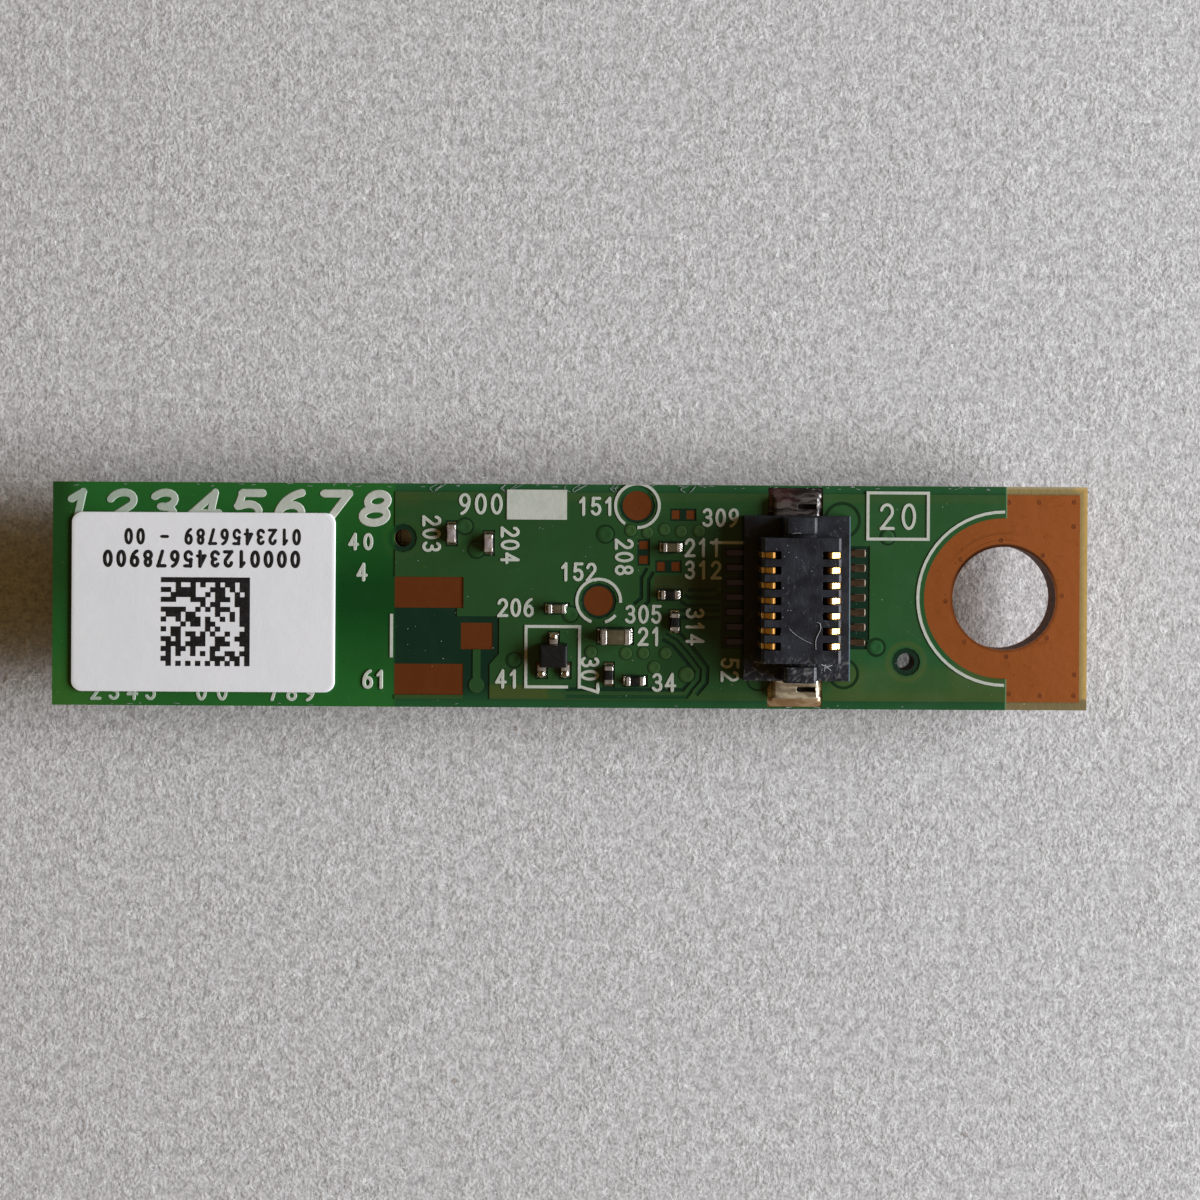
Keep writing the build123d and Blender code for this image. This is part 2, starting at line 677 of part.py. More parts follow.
def contact():
    """One stamped contact: tail, outer leg, bridge over the tongue's edge, inner leg."""
    outer = TONGUE_WIDTH / 2
    inner = outer - CONTACT_BRIDGE
    top = MASK_ON_COPPER + TONGUE_HEIGHT
    tail = TAIL_SPAN / 2
    t = CONTACT_THICK
    outline = Polyline(
        (tail, 0), (outer - t, 0), (outer - t, top - t), (inner + t, top - t),
        (inner + t, top - CONTACT_TIP_DEPTH), (inner, top - CONTACT_TIP_DEPTH),
        (inner, top), (outer, top), (outer, t), (tail, t), close=True,
    )
    profile = make_face(outline)
    outer_bend, inner_bend = profile.vertices().group_by(Axis.Y)[-1].sort_by(Axis.X, reverse=True)
    profile = chamfer(inner_bend, t * 0.5)
    profile = fillet(profile.vertices().sort_by_distance(outer_bend)[0], t * 0.95)
    return extrude(Plane.XZ * profile, amount=CONTACT_WIDTH / 2, both=True)


def both_rows(solid):
    """The solid at every contact's place, in both rows."""
    pair = [solid, mirror(solid, Plane.YZ)]
    return [Pos(CONNECTOR_X, y, Z_LAND_TOP) * one for y in contact_ys() for one in pair]


def contact_slot():
    """Room in the housing for one contact, with the open pocket behind its inner leg."""
    outer = TONGUE_WIDTH / 2
    inner = outer - CONTACT_BRIDGE
    top = MASK_ON_COPPER + TONGUE_HEIGHT
    wide = CONTACT_WIDTH + 2 * POCKET_SIDE_GAP
    t = CONTACT_THICK
    leg = block(outer - t / 2, 0, 0, t, CONTACT_WIDTH, top)
    tail = block((outer + BASE_WIDTH) / 2, 0, 0, BASE_WIDTH - outer, CONTACT_WIDTH, t)
    bridge = block((inner + outer) / 2, 0, top - t, CONTACT_BRIDGE, wide, 2 * t)
    pocket_x = inner + t - (POCKET_LENGTH + t) / 2
    pocket = block(pocket_x, 0, top - POCKET_DEPTH, POCKET_LENGTH + t, wide, POCKET_DEPTH + t)
    return leg + tail + bridge + pocket


def tab():
    """One hold-down tab: a bent channel from inside the base out over its land."""
    half, t = TAB_WIDTH / 2, TAB_THICK
    outline = Polyline(
        (-half, 0), (-half, TAB_HEIGHT), (half, TAB_HEIGHT), (half, 0),
        (half - t, 0), (half - t, TAB_HEIGHT - t), (-half + t, TAB_HEIGHT - t), (-half + t, 0), close=True,
    )
    profile = make_face(outline)
    bends = [v for v in profile.vertices() if v.Y > TAB_HEIGHT - t / 2]
    profile = fillet(bends, t * 0.95)
    length = TAB_INSERT + TAB_REACH
    channel = Pos(0, BASE_END_Y + TAB_REACH, 0) * extrude(Plane.XZ * profile, amount=length)
    slot = block(
        TAB_SLOT_OFFSET, BASE_END_Y + TAB_REACH / 2, 0, TAB_SLOT_LENGTH, TAB_SLOT_WIDTH, TAB_HEIGHT * 2
    )
    return channel - slot


def placed_tabs():
    """The two tabs, mirrored across the connector; both slots sit on the same side."""
    at = Pos(CONNECTOR_X, 0, Z_LAND_TOP)
    return at * tab(), at * mirror(tab(), Plane.XZ)


def tongue():
    body = block(0, 0, 0, TONGUE_WIDTH, TONGUE_LENGTH, TONGUE_HEIGHT)
    long_edges = body.edges().filter_by(Axis.Y).group_by(Axis.Z)[-1]
    return chamfer(long_edges, TONGUE_BEVEL)


def key(side):
    """The alignment block at one end of the tongue, with bevelled shoulders."""
    start = TONGUE_LENGTH / 2
    length = BASE_END_Y - KEY_END_GAP - start
    body = block(0, side * (start + length / 2), 0, KEY_WIDTH, length, KEY_HEIGHT)
    shoulders = body.edges().filter_by(Axis.Y).group_by(Axis.Z)[-1]
    return chamfer(shoulders, KEY_BEVEL)


def housing():
    base = block(0, 0, 0, BASE_WIDTH, BASE_LENGTH, BASE_HEIGHT)
    body = base + tongue() + key(1) + key(-1)
    for side in (-1, 1):
        y = side * (TONGUE_LENGTH / 2 + END_SLOT_WIDTH / 2)
        body -= block(0, y, TONGUE_HEIGHT - END_SLOT_DEPTH, END_SLOT_LENGTH, END_SLOT_WIDTH, TONGUE_HEIGHT)
    body = Pos(CONNECTOR_X, 0, Z_MASK_TOP) * body
    for room in both_rows(contact_slot()):
        body -= room
    for one in placed_tabs():
        body -= one
    return body


# ---------------------------------------------------------------- chips and packages

def chip_pieces(chip, level, flip=False):
    """Ceramic body between the two metal ends of a chip that stands on its lands."""
    between = (chip.length - 2 * chip.band, chip.width - 2 * PLATING, chip.height - 2 * PLATING)
    body = block(0, 0, PLATING, *between)
    ends = [
        block(side * (chip.length - chip.band) / 2, 0, 0, chip.band, chip.width, chip.height)
        for side in (-1, 1)
    ]
    place = Pos(chip.x, chip.y, level) * Rot(180 if flip else 0, 0, 0) * Rot(0, 0, chip.turn)
    return place * body, [place * end for end in ends]


def transistor():
    x, y = TRANSISTOR_PLACE
    foot = Pos(x, y, Z_LAND_TOP + BODY_STANDOFF) * Rectangle(TRANSISTOR_LENGTH, TRANSISTOR_WIDTH)
    body = extrude(foot, amount=TRANSISTOR_HEIGHT - BODY_STANDOFF, taper=BODY_DRAFT)
    reach = (TRANSISTOR_SPAN - TRANSISTOR_WIDTH) / 2 + LEAD_INSERT
    leads = [
        block(lx, ly + inward * reach / 2, Z_LAND_TOP, LEAD_WIDTH, reach, LEAD_THICK)
        for lx, ly, inward in transistor_lead_places()
    ]
    for lead in leads:
        body -= lead
    return body, leads


def package(one, pads):
    """A leadless package under the board: its body and its flat pads."""
    body = block(one.x, one.y, Z_LAND_LOW - one.height, one.length, one.width, one.height - PAD_THICK)
    feet = [block(x, y, Z_LAND_LOW - PAD_THICK, w, h, PAD_THICK) for x, y, w, h in pads]
    return body, feet


def crystal():
    """Ceramic base on four pads, with its seam-welded metal lid."""
    body, feet = package(CRYSTAL, crystal_pads())
    low = Z_LAND_LOW - CRYSTAL_HEIGHT - CRYSTAL_LID
    lid = block(
        CRYSTAL.x, CRYSTAL.y, low, CRYSTAL_LENGTH - CRYSTAL_LID, CRYSTAL_WIDTH - CRYSTAL_LID, CRYSTAL_LID
    )
    return body, feet, lid


def shield_can():
    """A drawn can with a plain flat face and solder notches in its rim."""
    profile = Pos(CAN_X, 0) * RectangleRounded(CAN_LENGTH, CAN_WIDTH, CAN_CORNER)
    outside = slab(profile, 0, CAN_HEIGHT)
    outside = fillet(outside.edges().group_by(Axis.Z)[0], CAN_EDGE_ROUND)
    inner = Pos(CAN_X, 0) * RectangleRounded(
        CAN_LENGTH - 2 * CAN_SHEET, CAN_WIDTH - 2 * CAN_SHEET, CAN_CORNER - CAN_SHEET
    )
    can = outside - slab(inner, CAN_SHEET, CAN_HEIGHT)
    notch_low = CAN_HEIGHT - CAN_NOTCH_HEIGHT
    for side in (-1, 1):
        x = CAN_X + side * CAN_LENGTH / 4
        can -= block(x, 0, notch_low, CAN_NOTCH_LENGTH, 2 * CAN_WIDTH, CAN_NOTCH_HEIGHT)
    return can


# ---------------------------------------------------------------- the whole card

def all_nodes():
    nodes = {"board": board(), "label": label(), "printed_ink": ink(), **upper_layers(), **lower_layers()}

    nodes["connector_housing"] = housing()
    nodes["connector_contacts"] = both_rows(contact())
    nodes["hold_down_tab_1"], nodes["hold_down_tab_2"] = placed_tabs()

    for chip in TOP_CHIPS:
        nodes[chip.name + "_body"], nodes[chip.name + "_ends"] = chip_pieces(chip, Z_LAND_TOP)
    nodes["transistor_body"], nodes["transistor_leads"] = transistor()

    nodes["shield_can"] = shield_can()
    nodes["radio_chip_body"], nodes["radio_chip_pads"] = package(RADIO, radio_pads())
    nodes["crystal_base"], nodes["crystal_pads"], nodes["crystal_lid"] = crystal()
    nodes["memory_chip_body"], nodes["memory_chip_pads"] = package(MEMORY, memory_pads())
    nodes["regulator_body"], nodes["regulator_pads"] = package(REGULATOR, regulator_pads())
    for chip in (FILTER, INDUCTOR):
        nodes[chip.name + "_body"], nodes[chip.name + "_ends"] = chip_pieces(chip, Z_LAND_LOW, flip=True)
    groups = {"underside_capacitor": UNDER_CAPACITORS, "underside_resistor": UNDER_RESISTORS}
    for name, group in groups.items():
        pieces = [chip_pieces(chip, Z_LAND_LOW, flip=True) for chip in group]
        nodes[name + "_bodies"] = [body for body, _ in pieces]
        nodes[name + "_ends"] = [end for _, ends in pieces for end in ends]
    return nodes


os.makedirs("parts", exist_ok=True)
for node, shape in all_nodes().items():
    if isinstance(shape, list):
        shape = Compound(children=[piece.solid() for piece in shape])
    export_step(shape, f"parts/{node}.step")
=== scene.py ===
"""Dresses a plug-in wireless card for rendering.

The card is a narrow two-sided circuit board: a board-to-board plug, small chips, a paper
label and a bare screw end on its upper face, and a radio under a shield can on its lower
face. Places are in millimetres in the card's own frame: X runs towards the screw hole, Y
across the board, and Z points up out of the connector side.
"""

from __future__ import annotations

import json
import logging
import math
from dataclasses import dataclass, field
from enum import Enum
from functools import cached_property
from typing import Iterable, Sequence

import bmesh
import bpy
import numpy as np
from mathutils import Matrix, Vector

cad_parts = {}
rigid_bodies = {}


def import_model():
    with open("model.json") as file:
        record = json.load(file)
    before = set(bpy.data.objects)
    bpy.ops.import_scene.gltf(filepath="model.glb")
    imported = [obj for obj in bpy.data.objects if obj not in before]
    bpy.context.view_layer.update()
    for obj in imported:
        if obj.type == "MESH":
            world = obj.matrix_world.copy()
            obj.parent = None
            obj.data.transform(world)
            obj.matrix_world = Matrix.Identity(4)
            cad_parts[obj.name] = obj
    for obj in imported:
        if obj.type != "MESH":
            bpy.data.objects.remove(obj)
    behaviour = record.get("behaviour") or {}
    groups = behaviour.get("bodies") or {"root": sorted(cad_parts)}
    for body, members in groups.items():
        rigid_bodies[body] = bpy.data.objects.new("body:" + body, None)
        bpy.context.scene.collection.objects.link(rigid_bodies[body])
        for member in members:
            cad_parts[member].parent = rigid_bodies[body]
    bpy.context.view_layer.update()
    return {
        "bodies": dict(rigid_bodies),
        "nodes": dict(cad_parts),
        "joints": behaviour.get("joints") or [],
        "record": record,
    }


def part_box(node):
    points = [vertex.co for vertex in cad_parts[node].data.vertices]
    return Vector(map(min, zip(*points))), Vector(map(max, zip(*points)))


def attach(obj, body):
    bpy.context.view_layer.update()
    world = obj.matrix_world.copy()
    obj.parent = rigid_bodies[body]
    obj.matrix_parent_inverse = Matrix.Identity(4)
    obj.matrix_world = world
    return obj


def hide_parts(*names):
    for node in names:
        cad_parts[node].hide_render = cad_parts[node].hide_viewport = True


LOG = logging.getLogger("wireless_card")

Material = bpy.types.Material
Tree = bpy.types.NodeTree
Socket = bpy.types.NodeSocket
Colour = tuple[float, float, float, float]

MM = 0.001
BODY = "root"
SAME_PLACE = 1e-6  # millimetres

# Levels of the board's layers
LAMINATE_TOP = 1.905
LAND_TOP = 1.94
BARE_TOP = 1.95
MASK_TOP = 1.97
LAMINATE_MIDDLE = 1.57

# Places along the board
HALF_LENGTH = 17.5
HALF_WIDTH = 3.775
CONNECTOR_X = 7.61
SCREW_X = 14.68
ZONE_X = -5.93
MASK_END_X = 14.76
TOOLING_HOLES = ((-5.66, 1.93), (11.37, -2.16))


class Slot(Enum):
    """The material slots of the card."""

    LAMINATE = "laminate"
    MASK = "solder_mask"
    COPPER = "copper"
    GOLD = "gold_plating"
    TIN = "tin_plating"
    PLASTIC = "connector_plastic"
    PAPER = "label_paper"
    INK = "ink"
    CERAMIC = "chip_ceramic"
    BLACK = "chip_black"
    CAN = "can_tinplate"


def linear(red: int, green: int, blue: int) -> Colour:
    """Turn a display colour of 0 to 255 per channel into the linear colour a shader takes.

    Args:
        red: Red of the display colour.
        green: Green of the display colour.
        blue: Blue of the display colour.

    Returns:
        Linear red, green, blue and an alpha of one.
    """
    share = np.array([red, green, blue], float) / 255.0
    light = np.where(share <= 0.04045, share / 12.92, ((share + 0.055) / 1.055) ** 2.4)
    return (*light.tolist(), 1.0)


# ---- surfaces


def ring_quads(count: int, around: int) -> np.ndarray:
    """Number the quads that join a stack of rings, ring by ring.

    Args:
        count: Number of rings.
        around: Number of points in a ring.

    Returns:
        One row of four point numbers for each quad.
    """
    i, j = np.meshgrid(np.arange(count - 1) * around, np.arange(around), indexing="ij")
    right = (j + 1) % around
    quads = [i + j, i + right, i + around + right, i + around + j]
    return np.stack(quads, axis=-1).reshape(-1, 4)


@dataclass
class Shape:
    """Points and faces gathered for one piece, in millimetres."""

    points: list[np.ndarray] = field(default_factory=list)
    faces: list[list[int]] = field(default_factory=list)
    total: int = 0

    def add(self, points: np.ndarray, quads: np.ndarray, caps: Iterable[np.ndarray] = ()) -> Shape:
        """Take in one more surface.

        Args:
            points: Its points, in any grid shape with three numbers at the end.
            quads: Its quads, numbered from its own first point.
            caps: Faces with more than four corners that close it.

        Returns:
            This shape, so that calls can follow each other.
        """
        flat = points.reshape(-1, 3)
        self.points.append(flat)
        self.faces.extend((quads + self.total).tolist())
        self.faces.extend((np.asarray(cap) + self.total).tolist() for cap in caps)
        self.total += len(flat)
        return self

    def add_band(self, rings: np.ndarray) -> Shape:
        """Take in a closed solid with a hole through it: the last ring joins the first one."""
        count, around = rings.shape[:2]
        return self.add(rings, ring_quads(count + 1, around) % (count * around))

    def add_line(self, path: np.ndarray, width: float, low: float, high: float) -> Shape:
        """Take in a printed line: along its path runs a trapezium, narrower on top.

        Args:
            path: Points along the line; it is joined to itself where it comes back to its start.
            width: Width of the line.
            low: Level of its underside.
            high: Level of its top.

        Returns:
            This shape.
        """
        across, level = width * np.array([-0.5, -0.38, 0.38, 0.5]), np.array([low, high, high, low])
        if np.linalg.norm(path[0] - path[-1]) < SAME_PLACE:
            return self.add_band(ridge_loop(path[:-1], across, level))
        return self.add_loft(ridge(path, across, level))

    def add_loft(self, rings: np.ndarray) -> Shape:
        """Take in a closed solid through a stack of rings, each a closed row of points.

        Args:
            rings: Points by ring, place in the ring and coordinate.

        Returns:
            This shape.
        """
        count, around = rings.shape[:2]
        low = np.arange(around)[::-1]
        high = np.arange(around) + (count - 1) * around
        return self.add(rings, ring_quads(count, around), (low, high))

    def finish(
        self, name: str, material: Material, slot: Slot, replaces: Sequence[str] = (),
        crease: float = 40.0,
    ) -> None:
        """Make the mesh and its object, riding on the card.

        Args:
            name: The piece's name.
            material: Its finish.
            slot: Its material slot; not used.
            replaces: The solids that it stands for.
            crease: Edges sharper than this angle, in degrees, stay sharp.
        """
        mesh = bpy.data.meshes.new(name)
        mesh.from_pydata((np.concatenate(self.points) * MM).tolist(), [], self.faces)
        work = bmesh.new()
        work.from_mesh(mesh)
        bmesh.ops.recalc_face_normals(work, faces=work.faces[:])
        work.to_mesh(mesh)
        work.free()
        mesh.validate()
        mesh.shade_smooth()
        mesh.set_sharp_from_angle(angle=math.radians(crease))
        place(name, mesh, material, replaces)


def cover(mesh: bpy.types.Mesh, material: Material) -> None:
    """Give a whole mesh one material."""
    mesh.materials.clear()
    mesh.materials.append(material)


def linked(name: str, content: bpy.types.ID) -> bpy.types.Object:
    """Make an object of a mesh, light or camera and link it to the scene."""
    made = bpy.data.objects.new(name, content)
    bpy.context.scene.collection.objects.link(made)
    return made


def place(
    name: str, mesh: bpy.types.Mesh, material: Material,
    replaces: Sequence[str] = (),
) -> bpy.types.Object:
    """Link a mesh as a piece of the card.

    Args:
        name: The piece's name.
        mesh: Its mesh, in metres.
        material: Its finish.
        replaces: The solids that it stands for.

    Returns:
        The new object.
    """
    piece = linked(name, mesh)
    cover(mesh, material)
    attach(piece, BODY)
    if replaces:
        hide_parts(*replaces)
    LOG.info("%s: %d faces", name, len(mesh.polygons))
    return piece


def rounded_outline(
    half_x: float, half_y: float, corner: float, steps: int = 5
) -> tuple[np.ndarray, np.ndarray]:
    """Walk round a rectangle with round corners, anticlockwise.

    Each point is a corner's centre plus the corner radius times a unit vector, so a smaller
    radius along the same vectors gives the same outline moved inwards.

    Args:
        half_x: Half the length along X.
        half_y: Half the length along Y.
        corner: Corner radius.
        steps: Points on each corner.

    Returns:
        The corner centre and the outward unit vector at each point.
    """
    turns = np.radians(np.linspace(0, 90, steps)[None, :] + 90 * np.arange(4)[:, None])
    signs = np.array([[1, 1], [-1, 1], [-1, -1], [1, -1]], float)
    centres = signs * np.array([half_x - corner, half_y - corner])
    base = np.repeat(centres, steps, axis=0)
    outward = np.stack([np.cos(turns), np.sin(turns)], axis=-1).reshape(-1, 2)
    return base, outward


def turned(points: np.ndarray, degrees: float, centre: tuple[float, float]) -> np.ndarray:
    """Turn points about the upright axis, then carry them to a centre.

    Args:
        points: Points about the origin.
        degrees: Turn, anticlockwise from above.
        centre: Where the origin goes.

    Returns:
        The points in place.
    """
    c, s = math.cos(math.radians(degrees)), math.sin(math.radians(degrees))
    x = points[..., 0] * c - points[..., 1] * s + centre[0]
    y = points[..., 0] * s + points[..., 1] * c + centre[1]
    return np.stack([x, y, points[..., 2]], axis=-1)


def soft_block(
    centre: tuple[float, float], low: float, size: tuple[float, float, float], corner: float,
    edge: float, turn: float = 0.0, taper: float = 0.0, sag: float = 0.0,
) -> np.ndarray:
    """Rings of a block with round upright corners and round upper and lower edges.

    The outline is a rectangle with round corners. Rings at the edges follow a quarter circle:
    the outline moves in by edge x (1 - cos a) while the level moves by edge x sin a.

    Args:
        centre: Middle of the block from above.
        low: Level of its underside.
        size: Length, width and height.
        corner: Radius of the upright corners.
        edge: Radius of the upper and lower edges.
        turn: Turn about the upright axis in degrees.
        taper: How far the walls lean in from bottom to top.
        sag: How far the middle of the top sinks.

    Returns:
        The rings, from the underside to the top.
    """
    base, outward = rounded_outline(size[0] / 2, size[1] / 2, corner)
    swing = np.radians(np.linspace(-90, 0, 4))
    inset = np.concatenate([edge * (1 - np.cos(swing)), edge * (1 - np.cos(swing[::-1])) + taper])
    level = np.concatenate([edge * (1 + np.sin(swing)), size[2] - edge * (1 + np.sin(swing[::-1]))])
    flat = base[None] + outward[None] * (corner - inset)[:, None, None]
    up = np.broadcast_to(level[:, None, None], flat.shape[:2] + (1,))
    rings = np.concatenate([flat, up], axis=-1)
    if sag:
        crown = np.concatenate([rings[-1:] * [0.8, 0.8, 1], rings[-1:] * [0.4, 0.4, 1]])
        crown[..., 2] -= sag * np.array([0.6, 1.0])[:, None]
        rings = np.concatenate([rings, crown])
    rings = rings + [0, 0, low]
    return turned(rings, turn, centre)


def path_normals(path: np.ndarray) -> np.ndarray:
    """Unit vectors square to a flat path, on its left, from central differences."""
    ways = np.gradient(path, axis=0)
    ways /= np.linalg.norm(ways, axis=1, keepdims=True)
    return np.stack([-ways[:, 1], ways[:, 0]], axis=1)


def rounded_path(corners: Sequence[tuple[float, float]], radius: float) -> np.ndarray:
    """A flat path through straight runs joined by arcs.

    At each corner the path leaves the run one tangent length early and follows a circle of the
    radius that touches both runs.

    Args:
        corners: End points and corners of the runs.
        radius: Radius of the arcs.

    Returns:
        The path's points.
    """
    run = [np.array(corners[0], float)]
    for before, here, after in zip(corners, corners[1:], corners[2:]):
        a, b, c = (np.array(p, float) for p in (before, here, after))
        u, v = (a - b) / np.linalg.norm(a - b), (c - b) / np.linalg.norm(c - b)
        half = math.acos(float(np.clip(u @ v, -1, 1))) / 2
        reach = radius / math.tan(half)
        middle = b + (u + v) / np.linalg.norm(u + v) * radius / math.sin(half)
        start, end = b + u * reach - middle, b + v * reach - middle
        share = np.linspace(0, 1, 6)[:, None]
        swing = math.pi - 2 * half
        arc = (np.sin((1 - share) * swing) * start + np.sin(share * swing) * end) / math.sin(swing)
        run.extend(middle + arc)
    run.append(np.array(corners[-1], float))
    return np.array(run)


# ---- node trees


class Desk:
    """Places and joins nodes in one node tree."""

    def __init__(self, tree: Tree) -> None:
        """Start with an empty tree."""
        self.tree = tree
        tree.nodes.clear()

    def put(self, kind: str, **settings: object) -> bpy.types.Node:
        """Add a node and set its properties.

        Args:
            kind: The node's type.
            settings: Its properties by name.

        Returns:
            The node.
        """
        node = self.tree.nodes.new(kind)
        for key, value in settings.items():
            setattr(node, key, value)
        return node

    def feed(self, socket: Socket, value: object) -> None:
        """Join an output to a socket, or set the socket to a constant.

        Args:
            socket: The input.
            value: The output or the constant.
        """
        if isinstance(value, Socket):
            self.tree.links.new(value, socket)
        else:
            socket.default_value = value

    def made(
        self, kind: str, inputs: dict[int | str, object], which: int = 0, **settings: object
    ) -> Socket:
        """Add a node, feed its inputs and give one of its outputs.

        Args:
            kind: The node's type.
            inputs: What goes into it, by place or name.
            which: Place of the output.
            settings: The node's properties by name.

        Returns:
            The output.
        """
        node = self.put(kind, **settings)
        for socket, value in inputs.items():
            self.feed(node.inputs[socket], value)
        return node.outputs[which]

    def calc(self, operation: str, a: object, b: object = 0.0) -> Socket:
        """One sum on numbers."""
        return self.made("ShaderNodeMath", {0: a, 1: b}, operation=operation)

    def times(self, a: object, b: object) -> Socket:
        """One number times another."""
        return self.calc("MULTIPLY", a, b)

    def minus(self, a: object, b: object) -> Socket:
        """One number less another."""
        return self.calc("SUBTRACT", a, b)

    def unsigned(self, a: object) -> Socket:
        """A number without its sign."""
        return self.calc("ABSOLUTE", a)

    def vector(
        self, operation: str, a: object, b: object = (0.0, 0.0, 0.0), which: int = 0
    ) -> Socket:
        """One sum on vectors; the second output, where there is one, is a number."""
        return self.made("ShaderNodeVectorMath", {0: a, 1: b}, which, operation=operation)

    def remap(
        self, value: object, low: float, high: float, to_low: float = 0.0, to_high: float = 1.0,
        smooth: bool = False,
    ) -> Socket:
        """Stretch a range of values onto another and stop at its ends.

        Args:
            value: The number.
            low: Value that becomes the new range's first end.
            high: Value that becomes its second end.
            to_low: The new range's first end.
            to_high: Its second end.
            smooth: Whether the slope fades in and out.

        Returns:
            The new number.
        """
        kind = "SMOOTHSTEP" if smooth else "LINEAR"
        ends = {"From Min": low, "From Max": high, "To Min": to_low, "To Max": to_high}
        inputs = {"Value": value, **ends}
        return self.made("ShaderNodeMapRange", inputs, interpolation_type=kind)

    def blend(self, share: object, a: object, b: object) -> Socket:
        """Mix two colours."""
        inputs = {0: share, 6: a, 7: b}
        return self.made("ShaderNodeMix", inputs, 2, data_type="RGBA", clamp_factor=True)

    def noise(
        self, vector: object, scale: object, detail: float = 3.0, rough: float = 0.55
    ) -> Socket:
        """Cloudy noise from 0 to 1."""
        inputs = {"Vector": vector, "Scale": scale, "Detail": detail, "Roughness": rough}
        return self.made("ShaderNodeTexNoise", inputs)

    def use(self, group: Tree, **inputs: object) -> Socket:
        """What a node group puts out for its own values, given by name."""
        named = {name.title(): value for name, value in inputs.items()}
        return self.made("ShaderNodeGroup", named, node_tree=group)

    def millimetres(self) -> Socket:
        """The place on the card in millimetres."""
        where = self.put("ShaderNodeTexCoord")
        return self.vector("MULTIPLY", where.outputs["Object"], (1000.0, 1000.0, 1000.0))

    def split(self, vector: object) -> tuple[Socket, ...]:
        """Take a vector apart.

        Args:
            vector: The vector.

        Returns:
            Its three parts.
        """
        node = self.put("ShaderNodeSeparateXYZ")
        self.feed(node.inputs[0], vector)
        return tuple(node.outputs)


class Kind(Enum):
    """Kinds of sockets on a node group."""

    NUMBER = "NodeSocketFloat"
    VECTOR = "NodeSocketVector"


def new_group(
    name: str, output: str, **inputs: float | tuple[float, float, float]
) -> tuple[Tree, Desk, bpy.types.NodeOutputs, Socket]:
    """Start a shader node group that takes a place and a few values and puts out one number.

    Args:
        name: The group's name.
        output: Name of the number it puts out.
        inputs: Names and first values of its inputs after the place, numbers or vectors.

    Returns:
        The group, a desk on it, its inputs by name and the socket that takes its result.
    """
    group = bpy.data.node_groups.new(name, "ShaderNodeTree")
    group.interface.new_socket(name="Vector", in_out="INPUT", socket_type=Kind.VECTOR.value)
    for label, value in inputs.items():
        kind = Kind.VECTOR if isinstance(value, tuple) else Kind.NUMBER
        socket = group.interface.new_socket(name=label, in_out="INPUT", socket_type=kind.value)
        socket.default_value = value
    group.interface.new_socket(name=output, in_out="OUTPUT", socket_type=Kind.NUMBER.value)
    desk = Desk(group)
    given, made = desk.put("NodeGroupInput"), desk.put("NodeGroupOutput")
    return group, desk, given.outputs, made.inputs[output]


